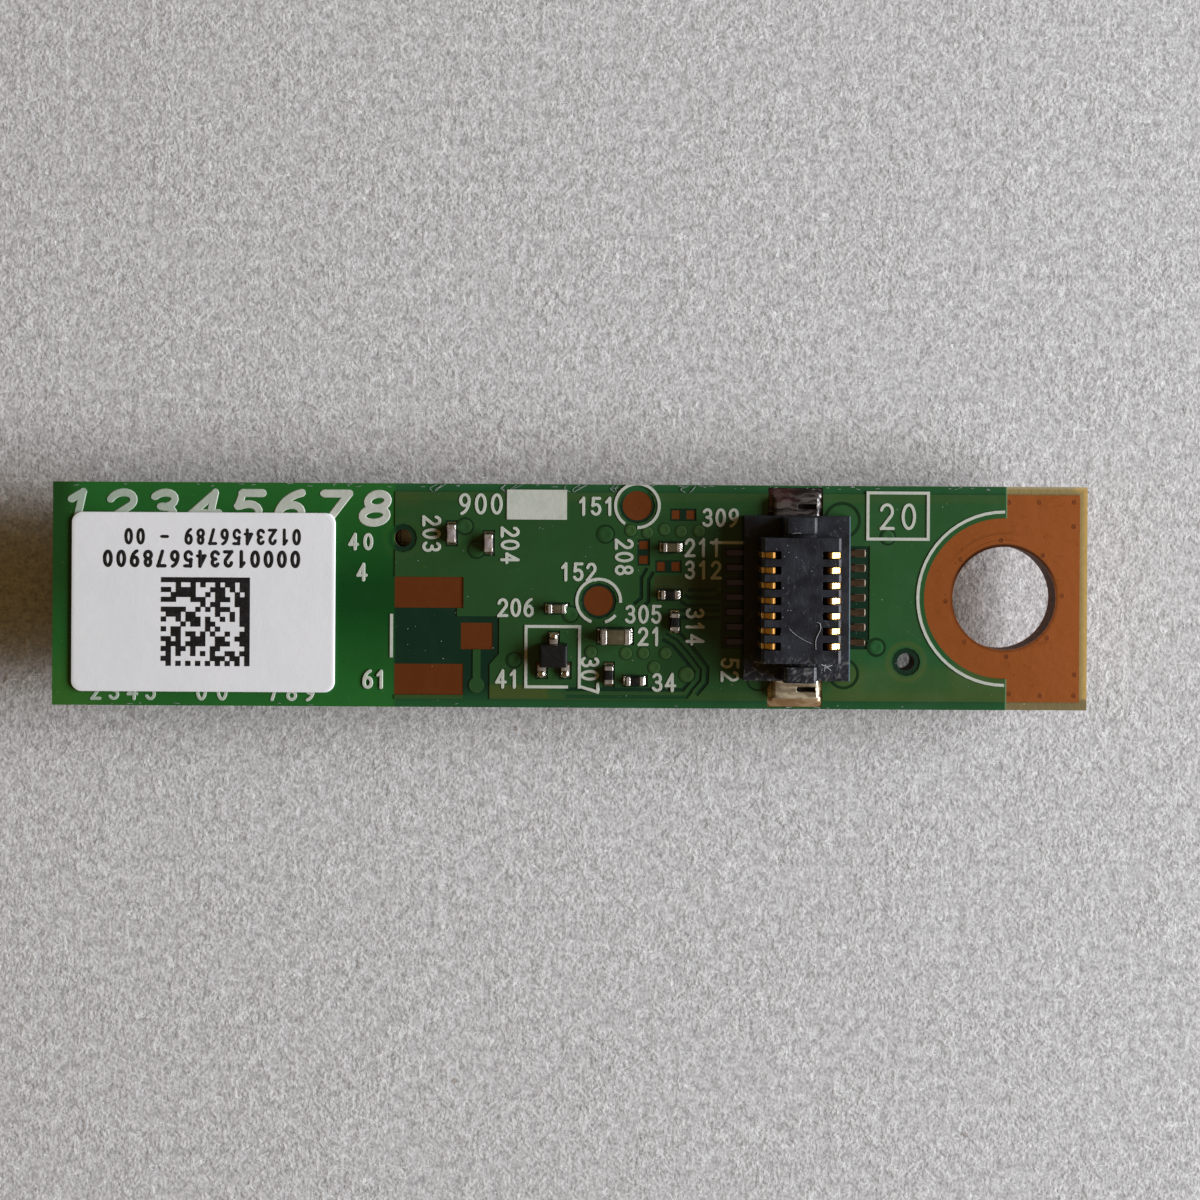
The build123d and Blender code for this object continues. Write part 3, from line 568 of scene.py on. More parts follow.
class Effects:
    """Surface effects that several finishes share, each built once as a node group."""

    def __init__(self) -> None:
        """Build all the groups."""
        self.smudge = self._smudge()
        self.flecks = self._flecks()
        self.hairlines = self._hairlines()
        self.patch = self._patch()
        self.ring = self._ring()
        self.relief = self._relief()
        self.weave = self._weave()

    @staticmethod
    def _smudge() -> Tree:
        """Cloudy stains: noise bent by a second noise, then sharpened round a threshold."""
        group, desk, given, made = new_group("smudge", "Mask", Scale=1.0, Cover=0.5, Soft=0.2)
        bend = desk.noise(given["Vector"], 0.7, 2.0)
        moved = desk.vector("ADD", given["Vector"], bend)
        cloud = desk.noise(moved, given["Scale"], 5.0, 0.6)
        edge = desk.minus(1.0, given["Cover"])
        start = desk.minus(edge, given["Soft"])
        end = desk.calc("ADD", edge, given["Soft"])
        desk.feed(made, desk.remap(cloud, start, end, smooth=True))
        return group

    @staticmethod
    def _flecks() -> Tree:
        """Dust specks: small blobs round scattered cell points, kept in a share of the cells."""
        group, desk, given, made = new_group("flecks", "Mask", Scale=4.0, Size=0.15, Share=0.3)
        bend = desk.noise(given["Vector"], 30.0, 2.0)
        moved = desk.vector("ADD", given["Vector"], desk.times(bend, 0.06))
        cells = desk.put("ShaderNodeTexVoronoi")
        desk.feed(cells.inputs["Vector"], moved)
        desk.feed(cells.inputs["Scale"], given["Scale"])
        dot = desk.calc("LESS_THAN", cells.outputs["Distance"], given["Size"])
        pick = desk.split(cells.outputs["Color"])[0]
        kept = desk.calc("LESS_THAN", pick, given["Share"])
        desk.feed(made, desk.times(dot, kept))
        return group

    @staticmethod
    def _hairlines() -> Tree:
        """Fine scratches: thin bands where a stretched noise crosses its middle value."""
        pull = (1.0, 12.0, 1.0)
        group, desk, given, made = new_group("hairlines", "Mask", Stretch=pull, Width=0.01)
        pulled = desk.vector("MULTIPLY", given["Vector"], given["Stretch"])
        value = desk.noise(pulled, 1.0, 2.0, 0.4)
        off = desk.unsigned(desk.minus(value, 0.5))
        line = desk.calc("LESS_THAN", off, given["Width"])
        breaks = desk.calc("GREATER_THAN", desk.noise(given["Vector"], 1.7, 2.0), 0.52)
        desk.feed(made, desk.times(line, breaks))
        return group

    @staticmethod
    def _patch() -> Tree:
        """A rectangle with soft edges, seen from above."""
        first = {"Centre": (0.0, 0.0, 0.0), "Half": (1.0, 1.0, 0.0), "Soft": 0.1}
        group, desk, given, made = new_group("patch", "Mask", **first)
        away = desk.vector("ABSOLUTE", desk.vector("SUBTRACT", given["Vector"], given["Centre"]))
        past = desk.split(desk.vector("SUBTRACT", away, given["Half"]))
        worst = desk.calc("MAXIMUM", past[0], past[1])
        desk.feed(made, desk.remap(worst, given["Soft"], 0.0, smooth=True))
        return group

    @staticmethod
    def _ring() -> Tree:
        """A ring with soft edges, seen from above."""
        first = {"Centre": (0.0, 0.0, 0.0), "Radius": 1.0, "Width": 0.1}
        group, desk, given, made = new_group("ring", "Mask", **first)
        away = desk.vector("SUBTRACT", given["Vector"], given["Centre"])
        flat = desk.vector("MULTIPLY", away, (1.0, 1.0, 0.0))
        reach = desk.vector("LENGTH", flat, which=1)
        off = desk.unsigned(desk.minus(reach, given["Radius"]))
        desk.feed(made, desk.remap(off, given["Width"], 0.0, smooth=True))
        return group

    @staticmethod
    def _relief() -> Tree:
        """A height for bumps: a broad wave and a fine grain added together."""
        group, desk, given, made = new_group("relief", "Height", Broad=1.0, Fine=20.0, Share=0.4)
        broad, fine = (desk.noise(given["Vector"], given[x], 3.0, 0.5) for x in ("Broad", "Fine"))
        desk.feed(made, desk.calc("ADD", broad, desk.times(fine, given["Share"])))
        return group

    @staticmethod
    def _weave() -> Tree:
        """Woven glass: two square sets of threads, each a sine across its run."""
        group, desk, given, made = new_group("weave", "Mask", Pitch=0.4)
        x, y, _ = desk.split(given["Vector"])
        turn = desk.calc("DIVIDE", 2 * math.pi, given["Pitch"])
        across = desk.calc("SINE", desk.times(x, turn))
        along = desk.calc("SINE", desk.times(y, turn))
        both = desk.times(across, along)
        desk.feed(made, desk.remap(both, -1.0, 1.0))
        return group


# ---- finishes


@dataclass
class Surface:
    """What a finish gives its shader: each part is a constant or an output of the tree."""

    colour: object
    roughness: object = 0.5
    metallic: object = 0.0
    height: object = None
    bump: float = 0.2
    coat: object = 0.0
    specular: float = 0.5


class Finish:
    """A finish with its own material; each kind of finish says what its surface is."""

    name = "finish"

    def __init__(self, effects: Effects) -> None:
        """Build the material at once.

        Args:
            effects: The shared effects.
        """
        self.effects = effects
        self.material = bpy.data.materials.new(self.name)
        self.material.use_nodes = True
        self.desk = Desk(self.material.node_tree)
        self.where = self.desk.millimetres()
        surface = self.surface()
        shader = self.desk.put("ShaderNodeBsdfPrincipled")
        output = self.desk.put("ShaderNodeOutputMaterial")
        pairs = {
            "Base Color": surface.colour,
            "Roughness": surface.roughness,
            "Metallic": surface.metallic,
            "Coat Weight": surface.coat,
            "Specular IOR Level": surface.specular,
        }
        for socket, value in pairs.items():
            self.desk.feed(shader.inputs[socket], value)
        shader.inputs["Coat Roughness"].default_value = 0.12
        if surface.height is not None:
            bump = self.desk.put("ShaderNodeBump")
            bump.inputs["Strength"].default_value = surface.bump
            bump.inputs["Distance"].default_value = 0.02 * MM
            self.desk.feed(bump.inputs["Height"], surface.height)
            self.desk.feed(shader.inputs["Normal"], bump.outputs["Normal"])
        self.desk.feed(output.inputs["Surface"], shader.outputs["BSDF"])

    def surface(self) -> Surface:
        """Lay out the finish's own nodes."""
        raise NotImplementedError

    @cached_property
    def xyz(self) -> tuple[Socket, Socket, Socket]:
        """The place's three distances in millimetres."""
        return self.desk.split(self.where)

    def effect(self, group: Tree, **inputs: object) -> Socket:
        """What a shared effect puts out at this place."""
        return self.desk.use(group, vector=self.where, **inputs)

    def cloud(self, scale: float, cover: float, soft: float) -> Socket:
        """A mask of cloudy stains that cover a share of the surface."""
        return self.effect(self.effects.smudge, scale=scale, cover=cover, soft=soft)

    def flecks(self, scale: float, size: float, share: float) -> Socket:
        """A mask of scattered specks."""
        return self.effect(self.effects.flecks, scale=scale, size=size, share=share)

    def hairlines(self, stretch: tuple[float, float, float], width: float) -> Socket:
        """A mask of fine broken lines."""
        return self.effect(self.effects.hairlines, stretch=stretch, width=width)

    def grain(self, broad: float, fine: float, share: float) -> Socket:
        """A height for bumps: a broad wave with a share of fine grain."""
        return self.effect(self.effects.relief, broad=broad, fine=fine, share=share)

    def dust(
        self, colour: object, scale: float, size: float, share: float, strength: float
    ) -> Socket:
        """Lay pale specks over a colour."""
        specks = self.flecks(scale, size, share)
        return self.tint(colour, specks, strength, linear(176, 178, 170))

    def area(
        self, left: float, low: float, right: float, high: float, soft: float = 0.06
    ) -> Socket:
        """A mask that is one inside a box seen from above and fades past its sides."""
        centre = ((left + right) / 2, (low + high) / 2, 0.0)
        half = ((right - left) / 2, (high - low) / 2, 0.0)
        return self.effect(self.effects.patch, centre=centre, half=half, soft=soft)

    def circle(self, x: float, y: float, radius: float, width: float) -> Socket:
        """A mask that is one on a circle and fades at a width on both sides of it."""
        return self.effect(self.effects.ring, centre=(x, y, 0.0), radius=radius, width=width)

    def tint(self, colour: object, mask: object, share: float, tone: Colour) -> Socket:
        """Lay a tone over a colour where a mask says, at most to the given share."""
        return self.desk.blend(self.desk.times(mask, share), colour, tone)

    def edge_distance(self) -> Socket:
        """How far a place is from the nearest edge of the board, in millimetres."""
        desk = self.desk
        x, y, _ = desk.split(desk.vector("ABSOLUTE", self.where))
        return desk.calc("MINIMUM", desk.minus(HALF_LENGTH, x), desk.minus(HALF_WIDTH, y))


@dataclass(frozen=True)
class MaskArea:
    """An area of the mask with a tone laid over it, a stain in most cases and a painted shadow in
    one: left, low, right and high sides.
    """

    box: tuple[float, float, float, float]
    tone: Colour
    share: float = 0.6
    soft: float = 0.08


MASK_STAINS_AND_SHADOW = (
    MaskArea((-2.82, -3.40, -0.80, -3.07), linear(76, 84, 38), 0.6, 0.12),
    MaskArea((9.0, -3.30, 14.5, -2.55), linear(74, 92, 44), 0.55, 0.5),
    MaskArea((-5.9, 3.15, -5.2, 3.5), linear(62, 78, 40), 0.4, 0.3),
    MaskArea((2.87, 0.16, 5.00, 0.68), linear(62, 64, 30), 0.8, 0.05),
    MaskArea((-0.20, -3.25, 2.90, -2.95), linear(24, 66, 44), 0.3, 0.15),
    MaskArea((10.2, -2.9, 12.6, -1.6), linear(26, 88, 48), 0.35, 0.5),
    # Painted shadow that the connector casts on the mask to its left.
    MaskArea((3.2, -2.6, 6.2, 2.4), linear(24, 54, 30), 0.35, 0.5),
)


class SolderMask(Finish):
    """Glossy green mask: dull green over copper, deep green over bare laminate."""

    name = "solder_mask"

    def surface(self) -> Surface:
        """Colour by level, painted glow and shade of light through the laminate, stained areas, a
        painted connector shadow, cloudy shade and dust.
        """
        desk = self.desk
        x, y, z = self.xyz
        lift = desk.unsigned(desk.minus(z, LAMINATE_MIDDLE))
        bare, covered = BARE_TOP - LAMINATE_MIDDLE, MASK_TOP - LAMINATE_MIDDLE
        over_copper = desk.remap(lift, bare + 0.003, covered - 0.003)
        colour = desk.blend(over_copper, self._bare(x, y), self._covered(x))
        cloud = self.cloud(scale=0.5, cover=0.5, soft=0.25)
        colour = self.tint(colour, cloud, 0.20, linear(20, 48, 22))
        for hole, halo in zip(TOOLING_HOLES, (0.10, 0.45)):
            around, rim = self.circle(*hole, 0.62, 0.16), self.circle(*hole, 0.42, 0.09)
            colour = self.tint(colour, around, halo, linear(78, 92, 44))
            colour = self.tint(colour, rim, 0.55, linear(14, 44, 24))
        end = desk.remap(x, MASK_END_X - 0.055, MASK_END_X - 0.015)
        colour = self.tint(colour, end, 0.55, linear(138, 168, 128))
        colour = self.dust(colour, 2.2, 0.05, 0.35, 0.30)
        colour = self.dust(colour, 7.0, 0.10, 0.05, 0.35)
        smear = self.cloud(scale=1.1, cover=0.45, soft=0.2)
        roughness = desk.remap(smear, 0.0, 1.0, 0.24, 0.36)
        grain = self.grain(broad=1.6, fine=14.0, share=0.25)
        return Surface(colour, roughness, height=grain, bump=0.25)

    def _bare(self, x: Socket, y: Socket) -> Socket:
        """Over bare laminate: dark teal in the gaps, clear green in the antenna zone, with painted
        glow and shade of light through the laminate.

        Args:
            x: Place along the board.
            y: Place across it.

        Returns:
            The tone.
        """
        desk = self.desk
        edge = self.edge_distance()
        # Painted glow: the bare laminate brightens towards the board's edges, where light comes
        # through it from below.
        edge_glow = desk.remap(edge, 0.75, 0.0, smooth=True)
        gap = desk.blend(edge_glow, linear(6, 43, 31), linear(32, 86, 48))
        # Painted glow in the antenna zone too: dark in its middle, brighter towards the edges.
        zone_tone = desk.blend(desk.remap(edge, 3.4, 0.1), linear(3, 66, 24), linear(34, 102, 42))
        # Painted glow at the antenna zone's lower left.
        low_left_glow = desk.times(desk.remap(x, -14.0, -17.2), desk.remap(y, -1.5, -3.5))
        zone_tone = self.tint(zone_tone, low_left_glow, 0.6, linear(62, 108, 40))
        # Painted shade along the antenna zone's left end, where less light comes through the
        # laminate.
        high_left_shade = desk.times(desk.remap(x, -16.3, -17.3, smooth=True), desk.remap(y, -2.6, 0.5))
        zone_tone = self.tint(zone_tone, high_left_shade, 0.65, linear(16, 42, 16))
        return desk.blend(desk.remap(x, ZONE_X + 0.05, ZONE_X - 0.05), gap, zone_tone)

    def _covered(self, x: Socket) -> Socket:
        """Over copper: dull green, a little olive along the rim and in stained areas, darker in a
        painted shadow left of the connector.

        Args:
            x: Place along the board.

        Returns:
            The tone.
        """
        desk = self.desk
        tone = desk.blend(desk.remap(x, -6.0, 12.0), linear(37, 75, 38), linear(40, 85, 45))
        rim = desk.remap(self.edge_distance(), 0.62, 0.50, smooth=True)
        tone = self.tint(tone, rim, 0.40, linear(62, 86, 44))
        # Every area is a stain except the last, which is the connector's painted shadow.
        for stain in MASK_STAINS_AND_SHADOW:
            tone = self.tint(tone, self.area(*stain.box, soft=stain.soft), stain.share, stain.tone)
        return tone


class Blotched(Finish):
    """A finish of two tones in cloudy blotches; its kinds differ only in these values."""

    blotches: tuple[float, float, float]
    tones: tuple[Colour, Colour]
    rough: float | tuple[float, float]
    metallic: float = 0.0
    grains: tuple[float, float, float] | None = None
    bump: float = 0.2

    def surface(self) -> Surface:
        """One tone, the other where the blotches are, roughness along with them."""
        mask = self.cloud(*self.blotches)
        colour = self.desk.blend(mask, *self.tones)
        rough = self.rough
        if isinstance(rough, tuple):
            rough = self.desk.remap(mask, 0.0, 1.0, *rough)
        height = self.grain(*self.grains) if self.grains else None
        return Surface(colour, rough, self.metallic, height, self.bump)


class MoatMask(Blotched):
    """The mask where it dips into the bare ring round a tented hole: deep green."""

    name = "solder_mask_moat"
    blotches = (3.0, 0.5, 0.3)
    tones = (linear(12, 42, 24), linear(22, 54, 30))
    rough = 0.22


class TentMask(Blotched):
    """The mask where it bulges over a small plated hole: paler and more olive than around it."""

    name = "solder_mask_tent"
    blotches = (2.0, 0.5, 0.3)
    tones = (linear(56, 88, 46), linear(48, 80, 44))
    rough = 0.26


class Laminate(Finish):
    """Yellowish woven glass and resin, pale where light comes in at the edges."""

    name = "laminate"

    def surface(self) -> Surface:
        """Weave seen faintly, painted glow of light through the laminate at the edges, painted
        shade at the lower edge and in the holes, layered cut sides.
        """
        desk = self.desk
        x, y, z = self.xyz
        weave = self.effect(self.effects.weave, pitch=0.42)
        tone = desk.blend(desk.times(weave, 0.35), linear(96, 80, 39), linear(114, 97, 49))
        # Painted glow: light coming through the laminate brightens it near the edges, most on the
        # right end's top.
        top = desk.remap(z, LAMINATE_TOP - 0.045, LAMINATE_TOP - 0.005)
        right_end = desk.times(desk.remap(x, 16.9, 17.3), top)
        glow = desk.remap(self.edge_distance(), 0.3, 0.0, smooth=True)
        glow = desk.times(glow, desk.remap(right_end, 0.0, 1.0, 0.20, 0.9))
        tone = desk.blend(glow, tone, linear(196, 150, 66))
        # Painted shade along the lower long edge.
        tone = self.tint(tone, desk.remap(y, -3.36, -3.44), 0.9, linear(70, 52, 20))
        tone = self.tint(tone, desk.remap(y, 3.68, 3.75), 0.35, linear(186, 182, 160))
        # The screw hole's wall: copper brown, darkened further as painted shade inside the hole.
        tone = self.tint(tone, self.circle(SCREW_X, 0.0, 1.75, 0.2), 0.95, linear(92, 40, 14))
        # Painted shade inside the tooling holes.
        for hole in TOOLING_HOLES:
            tone = self.tint(tone, self.circle(*hole, 0.30, 0.12), 0.85, linear(34, 30, 20))
        ply = desk.calc("SINE", desk.times(z, 2 * math.pi / 0.11))
        tone = desk.blend(desk.remap(ply, 0.4, 1.0, 0.0, 0.25), tone, linear(206, 194, 144))
        frayed = self.flecks(scale=5.0, size=0.16, share=0.25)
        tone = self.tint(tone, frayed, 0.4, linear(214, 208, 172))
        grain = self.grain(broad=6.0, fine=28.0, share=0.6)
        return Surface(tone, 0.55, height=grain, bump=0.5, specular=0.1)


class BareCopper(Finish):
    """Copper under a thin brown protective film, rubbed by the washer round the screw hole."""

    name = "bare_copper"

    def surface(self) -> Surface:
        """Stains, faint ring scratches, brushed grain, dark spots, painted shade at the hole's
        burred upper rim and solder at the connector.
        """
        desk = self.desk
        x, y, _ = self.xyz
        stain = self.cloud(scale=0.8, cover=0.5, soft=0.25)
        colour = desk.blend(stain, linear(184, 106, 50), linear(164, 92, 43))
        inner_lands = desk.remap(x, 9.0, 5.0)
        colour = self.tint(colour, inner_lands, 0.8, linear(138, 78, 40))
        spots = self.flecks(scale=3.0, size=0.10, share=0.22)
        colour = self.tint(colour, spots, 0.40, linear(86, 40, 18))
        colour = self.tint(colour, self.circle(SCREW_X, 0.0, 1.78, 0.09), 0.45, linear(84, 34, 16))
        # A burr on the hole's upper rim, darkened as its painted shade.
        burr_and_shade = desk.times(self.circle(SCREW_X, 0.0, 1.79, 0.10), desk.remap(y, 0.2, 1.0))
        colour = self.tint(colour, burr_and_shade, 0.85, linear(34, 20, 14))
        rubbed = desk.times(self._rubbed(x, y), 0.55)
        colour = desk.blend(rubbed, colour, linear(84, 36, 16))
        lines = self.hairlines(stretch=(1.2, 9.0, 1.0), width=0.006)
        rough = desk.remap(stain, 0.0, 1.0, 0.38, 0.46)
        rough = desk.minus(rough, desk.times(lines, 0.12))
        grain = self.grain(broad=2.5, fine=30.0, share=0.5)
        height = desk.minus(grain, desk.times(rubbed, 0.5))
        return Surface(self._soldered(colour, y), rough, 0.82, height, 0.3)

    def _rubbed(self, x: Socket, y: Socket) -> Socket:
        """Thin broken arcs left by the washer, on the upper left of the screw hole.

        Args:
            x: Place along the board.
            y: Place across it.

        Returns:
            The mask.
        """
        desk = self.desk
        arcs = None
        for radius, width in ((2.16, 0.022), (2.22, 0.016), (1.95, 0.02)):
            ring = self.circle(SCREW_X + 0.02, 0.03, radius, width)
            arcs = ring if arcs is None else desk.calc("MAXIMUM", arcs, ring)
        above = desk.remap(y, 1.2, 1.7)
        left = desk.remap(x, SCREW_X + 0.7, SCREW_X + 0.1)
        return desk.times(arcs, desk.times(above, left))

    def _soldered(self, colour: Socket, y: Socket) -> Socket:
        """Lands at the connector are covered with solder: grey-brown, darker on the upper side.

        Args:
            colour: The copper.
            y: Place across it.

        Returns:
            The colour with the solder.
        """
        desk, c = self.desk, CONNECTOR_X
        tails = self.area(c - 2.75, -1.8, c + 2.75, 1.8)
        colour = self.tint(colour, tails, 0.92, linear(52, 42, 34))
        cloud = self.cloud(scale=2.6, cover=0.45, soft=0.2)
        solder = desk.blend(cloud, linear(168, 134, 88), linear(112, 84, 54))
        solder = desk.blend(desk.remap(y, -1.0, 1.0), solder, linear(46, 26, 22))
        beyond_tails = desk.remap(desk.unsigned(y), 2.4, 2.5)
        lands = desk.times(self.area(c - 1.1, -4.0, c + 1.1, 4.0), beyond_tails)
        return desk.blend(lands, colour, solder)


class DimpleCopper(Blotched):
    """Filled holes in the bare copper: small dimples, dark reddish brown."""

    name = "dimple_copper"
    blotches = (6.0, 0.5, 0.3)
    tones = (linear(158, 88, 44), linear(116, 62, 32))
    rough = 0.42
    metallic = 0.8


class ContactGold(Finish):
    """Bright gold plating on the contacts, dusty in places."""

    name = "contact_gold"

    def surface(self) -> Surface:
        """Gold with small stains over the tongue, dull with solder and flux along the tails,
        painted shade on the left tails and the inner legs.
        """
        desk = self.desk
        stain = self.cloud(scale=4.0, cover=0.35, soft=0.2)
        colour = self.tint(linear(255, 205, 118), stain, 0.5, linear(206, 136, 58))
        away = desk.minus(self.xyz[0], CONNECTOR_X)
        right_tail, left_tail = desk.remap(away, 1.60, 1.72), desk.remap(away, -1.60, -1.72)
        colour = self.tint(colour, right_tail, 1.0, linear(118, 100, 84))
        # Painted shade: the left row's tails lie in the connector's shadow and get a cooler, darker
        # copy of the tail tone.
        colour = self.tint(colour, left_tail, 1.0, linear(90, 86, 120))
        # Painted shade: the inner legs, down in the pockets, turn darker orange; they are also
        # rougher.
        inner = desk.remap(desk.unsigned(away), 1.0, 0.9)
        colour = self.tint(colour, inner, 0.85, linear(120, 70, 26))
        rough = desk.remap(stain, 0.0, 1.0, 0.32, 0.46)
        rough = desk.calc("MAXIMUM", rough, desk.times(inner, 0.75))
        grain = self.grain(broad=8.0, fine=60.0, share=0.3)
        return Surface(colour, rough, 1.0, grain, 0.15)


class Tin(Blotched):
    """Solder and tinned metal: mirror-like, finely rippled, dull in patches."""

    name = "bright_tin"
    blotches = (3.5, 0.42, 0.2)
    tones = (linear(232, 228, 220), linear(186, 176, 162))
    rough = (0.14, 0.34)
    metallic = 1.0
    grains = (5.0, 40.0, 0.3)
    bump = 0.5


class EndTin(Tin):
    """The chips' fired and tinned ends: light grey, half matt."""

    name = "end_tin"
    blotches = (4.5, 0.45, 0.2)
    tones = (linear(206, 200, 194), linear(146, 134, 122))
    rough = (0.18, 0.36)
    metallic = 0.6
    bump = 0.4


class TabTin(Finish):
    """The hold-down tabs: streaked satin tin with flux stains, the upper one dark and reddish."""

    name = "tab_tin"

    def surface(self) -> Surface:
        """Cream-grey metal streaked along the tab, brown at the solder, dark on the upper tab."""
        desk = self.desk
        x, y, _ = self.xyz
        bent = desk.vector("ADD", self.where, desk.noise(self.where, 0.8, 2.0))
        pulled = desk.noise(desk.vector("MULTIPLY", bent, (1.1, 6.0, 1.0)), 1.0, 3.0, 0.6)
        streaks = desk.remap(pulled, 0.40, 0.62, smooth=True)
        lower = desk.blend(streaks, linear(150, 134, 110), linear(214, 200, 172))
        upper = desk.blend(streaks, linear(40, 37, 38), linear(112, 106, 104))
        left = desk.remap(x, CONNECTOR_X + 0.2, CONNECTOR_X - 0.3)
        red = desk.times(desk.remap(y, 3.05, 3.3), left)
        upper = self.tint(upper, red, 0.5, linear(84, 44, 44))
        colour = desk.blend(desk.remap(y, -1.0, 1.0), lower, upper)
        flux = self.cloud(scale=3.2, cover=0.36, soft=0.12)
        colour = self.tint(colour, flux, 0.45, linear(92, 68, 44))
        low_end = desk.times(desk.remap(desk.unsigned(y), 3.36, 3.42), desk.remap(y, 1.0, -1.0))
        colour = self.tint(colour, low_end, 0.5, linear(176, 128, 72))
        grain = self.grain(broad=4.0, fine=30.0, share=0.5)
        return Surface(colour, 0.30, 0.5, grain, 0.25)


class DarkSolder(Finish):
    """Dull solder and flux, brown-grey along the contact tails; near black under a tab and darker
    on the left tails as painted shade.
    """

    name = "dark_solder"

    def surface(self) -> Surface:
        """Tones by place, with dull stains; the near black and the darker left tails are painted
        shade.
        """
        desk = self.desk
        stain = self.cloud(scale=5.0, cover=0.5, soft=0.3)
        # Near black: painted shade on the solder seen through the tabs' slots.
        colour = desk.blend(stain, linear(16, 14, 13), linear(30, 26, 24))
        away = desk.minus(self.xyz[0], CONNECTOR_X)
        colour = self.tint(colour, desk.remap(away, 1.5, 1.7), 1.0, linear(96, 84, 68))
        # Painted shade: darker tails on the left, in the connector's shadow.
        colour = self.tint(colour, desk.remap(away, -1.5, -1.7), 1.0, linear(58, 46, 56))
        return Surface(colour, 0.5, 0.4)


class Tinplate(Finish):
    """The shield can's rolled sheet: satin grey with fine rolling lines and handling marks."""

    name = "can_tinplate"

    def surface(self) -> Surface:
        """Rolling lines along X, smudges and small scratches."""
        desk = self.desk
        smear = self.cloud(scale=0.45, cover=0.5, soft=0.22)
        colour = desk.blend(smear, linear(206, 205, 202), linear(184, 182, 178))
        lines = self.hairlines(stretch=(0.5, 16.0, 2.0), width=0.010)
        colour = self.tint(colour, lines, 0.25, linear(150, 148, 145))
        rolled = desk.noise(desk.vector("MULTIPLY", self.where, (0.4, 30.0, 6.0)), 1.0, 2.0)
        rough = desk.remap(smear, 0.0, 1.0, 0.26, 0.38)
        return Surface(colour, rough, 1.0, rolled, 0.12)


class MouldedPlastic(Finish):
    """The connector's black plastic, matt, with grey dust and rubbed scratches."""

    name = "connector_plastic"

    def surface(self) -> Surface:
        """Blue-black base, cloudy dust, flecks, thin scratches and a painted highlight on the
        base's upper right edge.
        """
        desk = self.desk
        haze = self.cloud(scale=1.4, cover=0.48, soft=0.25)
        colour = desk.blend(haze, linear(10, 13, 22), linear(23, 28, 40))
        lines = self.hairlines(stretch=(5.0, 0.8, 1.0), width=0.006)
        colour = self.tint(colour, lines, 0.30, linear(110, 112, 120))
        fine = self.flecks(scale=9.0, size=0.16, share=0.16)
        colour = self.tint(colour, fine, 0.22, linear(140, 142, 146))
        x, y, z = self.xyz
        low_end = desk.remap(y, -1.8, -2.2)
        grime = self.cloud(scale=7.0, cover=0.40, soft=0.10)
        colour = self.tint(colour, desk.times(grime, low_end), 0.62, linear(136, 134, 132))
        # Painted highlight: a thin cool line along the base's upper right edge, which faces the
        # light.
        right_edge_highlight = desk.remap(x, CONNECTOR_X + 1.735, CONNECTOR_X + 1.75)
        rim = desk.times(right_edge_highlight, desk.remap(z, 2.34, 2.36))
        colour = self.tint(colour, rim, 0.8, linear(112, 142, 156))
        colour = self.dust(colour, 3.4, 0.07, 0.22, 0.40)
        rough = desk.remap(haze, 0.0, 1.0, 0.38, 0.55)
        grain = self.grain(broad=5.0, fine=36.0, share=0.5)
        return Surface(colour, rough, height=grain, bump=0.4)


class MouldCompound(Finish):
    """Black epoxy of the transistor and the chips: fine matt grain."""

    name = "mould_compound"

    def surface(self) -> Surface:
        """Near black with a fine sparkle."""
        desk = self.desk
        haze = self.cloud(scale=2.5, cover=0.45, soft=0.25)
        colour = desk.blend(haze, linear(12, 12, 12), linear(22, 22, 21))
        colour = self.dust(colour, 6.0, 0.10, 0.12, 0.22)
        grain = self.grain(broad=10.0, fine=60.0, share=0.8)
        return Surface(colour, 0.46, height=grain, bump=0.5, specular=0.3)


class Ceramic(Finish):
    """Fired ceramic of the small capacitors, mottled tan and grey."""

    name = "fired_ceramic"

    def surface(self) -> Surface:
        """Tan with cloudy grey mottling and dark pores."""
        desk = self.desk
        mottle = self.cloud(scale=3.0, cover=0.5, soft=0.25)
        colour = desk.blend(mottle, linear(92, 84, 62), linear(72, 66, 46))
        pores = self.flecks(scale=14.0, size=0.2, share=0.3)
        colour = self.tint(colour, pores, 0.25, linear(52, 46, 36))
        grain = self.grain(broad=8.0, fine=50.0, share=0.5)
        return Surface(colour, 0.42, height=grain, bump=0.35)


class GreyCeramic(Blotched):
    """The paler, pinkish ceramic of the two capacitors beside the tooling hole."""

    name = "grey_ceramic"
    blotches = (4.0, 0.5, 0.25)
    tones = (linear(166, 154, 152), linear(130, 118, 116))
    rough = 0.4
    grains = (8.0, 50.0, 0.5)
    bump = 0.35


class LabelPaper(Finish):
    """White coated paper, with faint fibre and a little shade at worn places."""

    name = "label_paper"

    def surface(self) -> Surface:
        """White with faint cloud, fine fibre and dust."""
        desk = self.desk
        cloud = self.cloud(scale=0.5, cover=0.5, soft=0.3)
        colour = desk.blend(cloud, linear(236, 236, 239), linear(229, 230, 233))
        fibre = desk.noise(desk.vector("MULTIPLY", self.where, (9.0, 26.0, 10.0)), 1.0, 3.0)
        colour = desk.blend(desk.remap(fibre, 0.55, 0.75, 0.0, 0.10), colour, linear(216, 217, 222))
        grain = self.grain(broad=2.0, fine=24.0, share=0.6)
        return Surface(colour, 0.5, height=grain, bump=0.25)


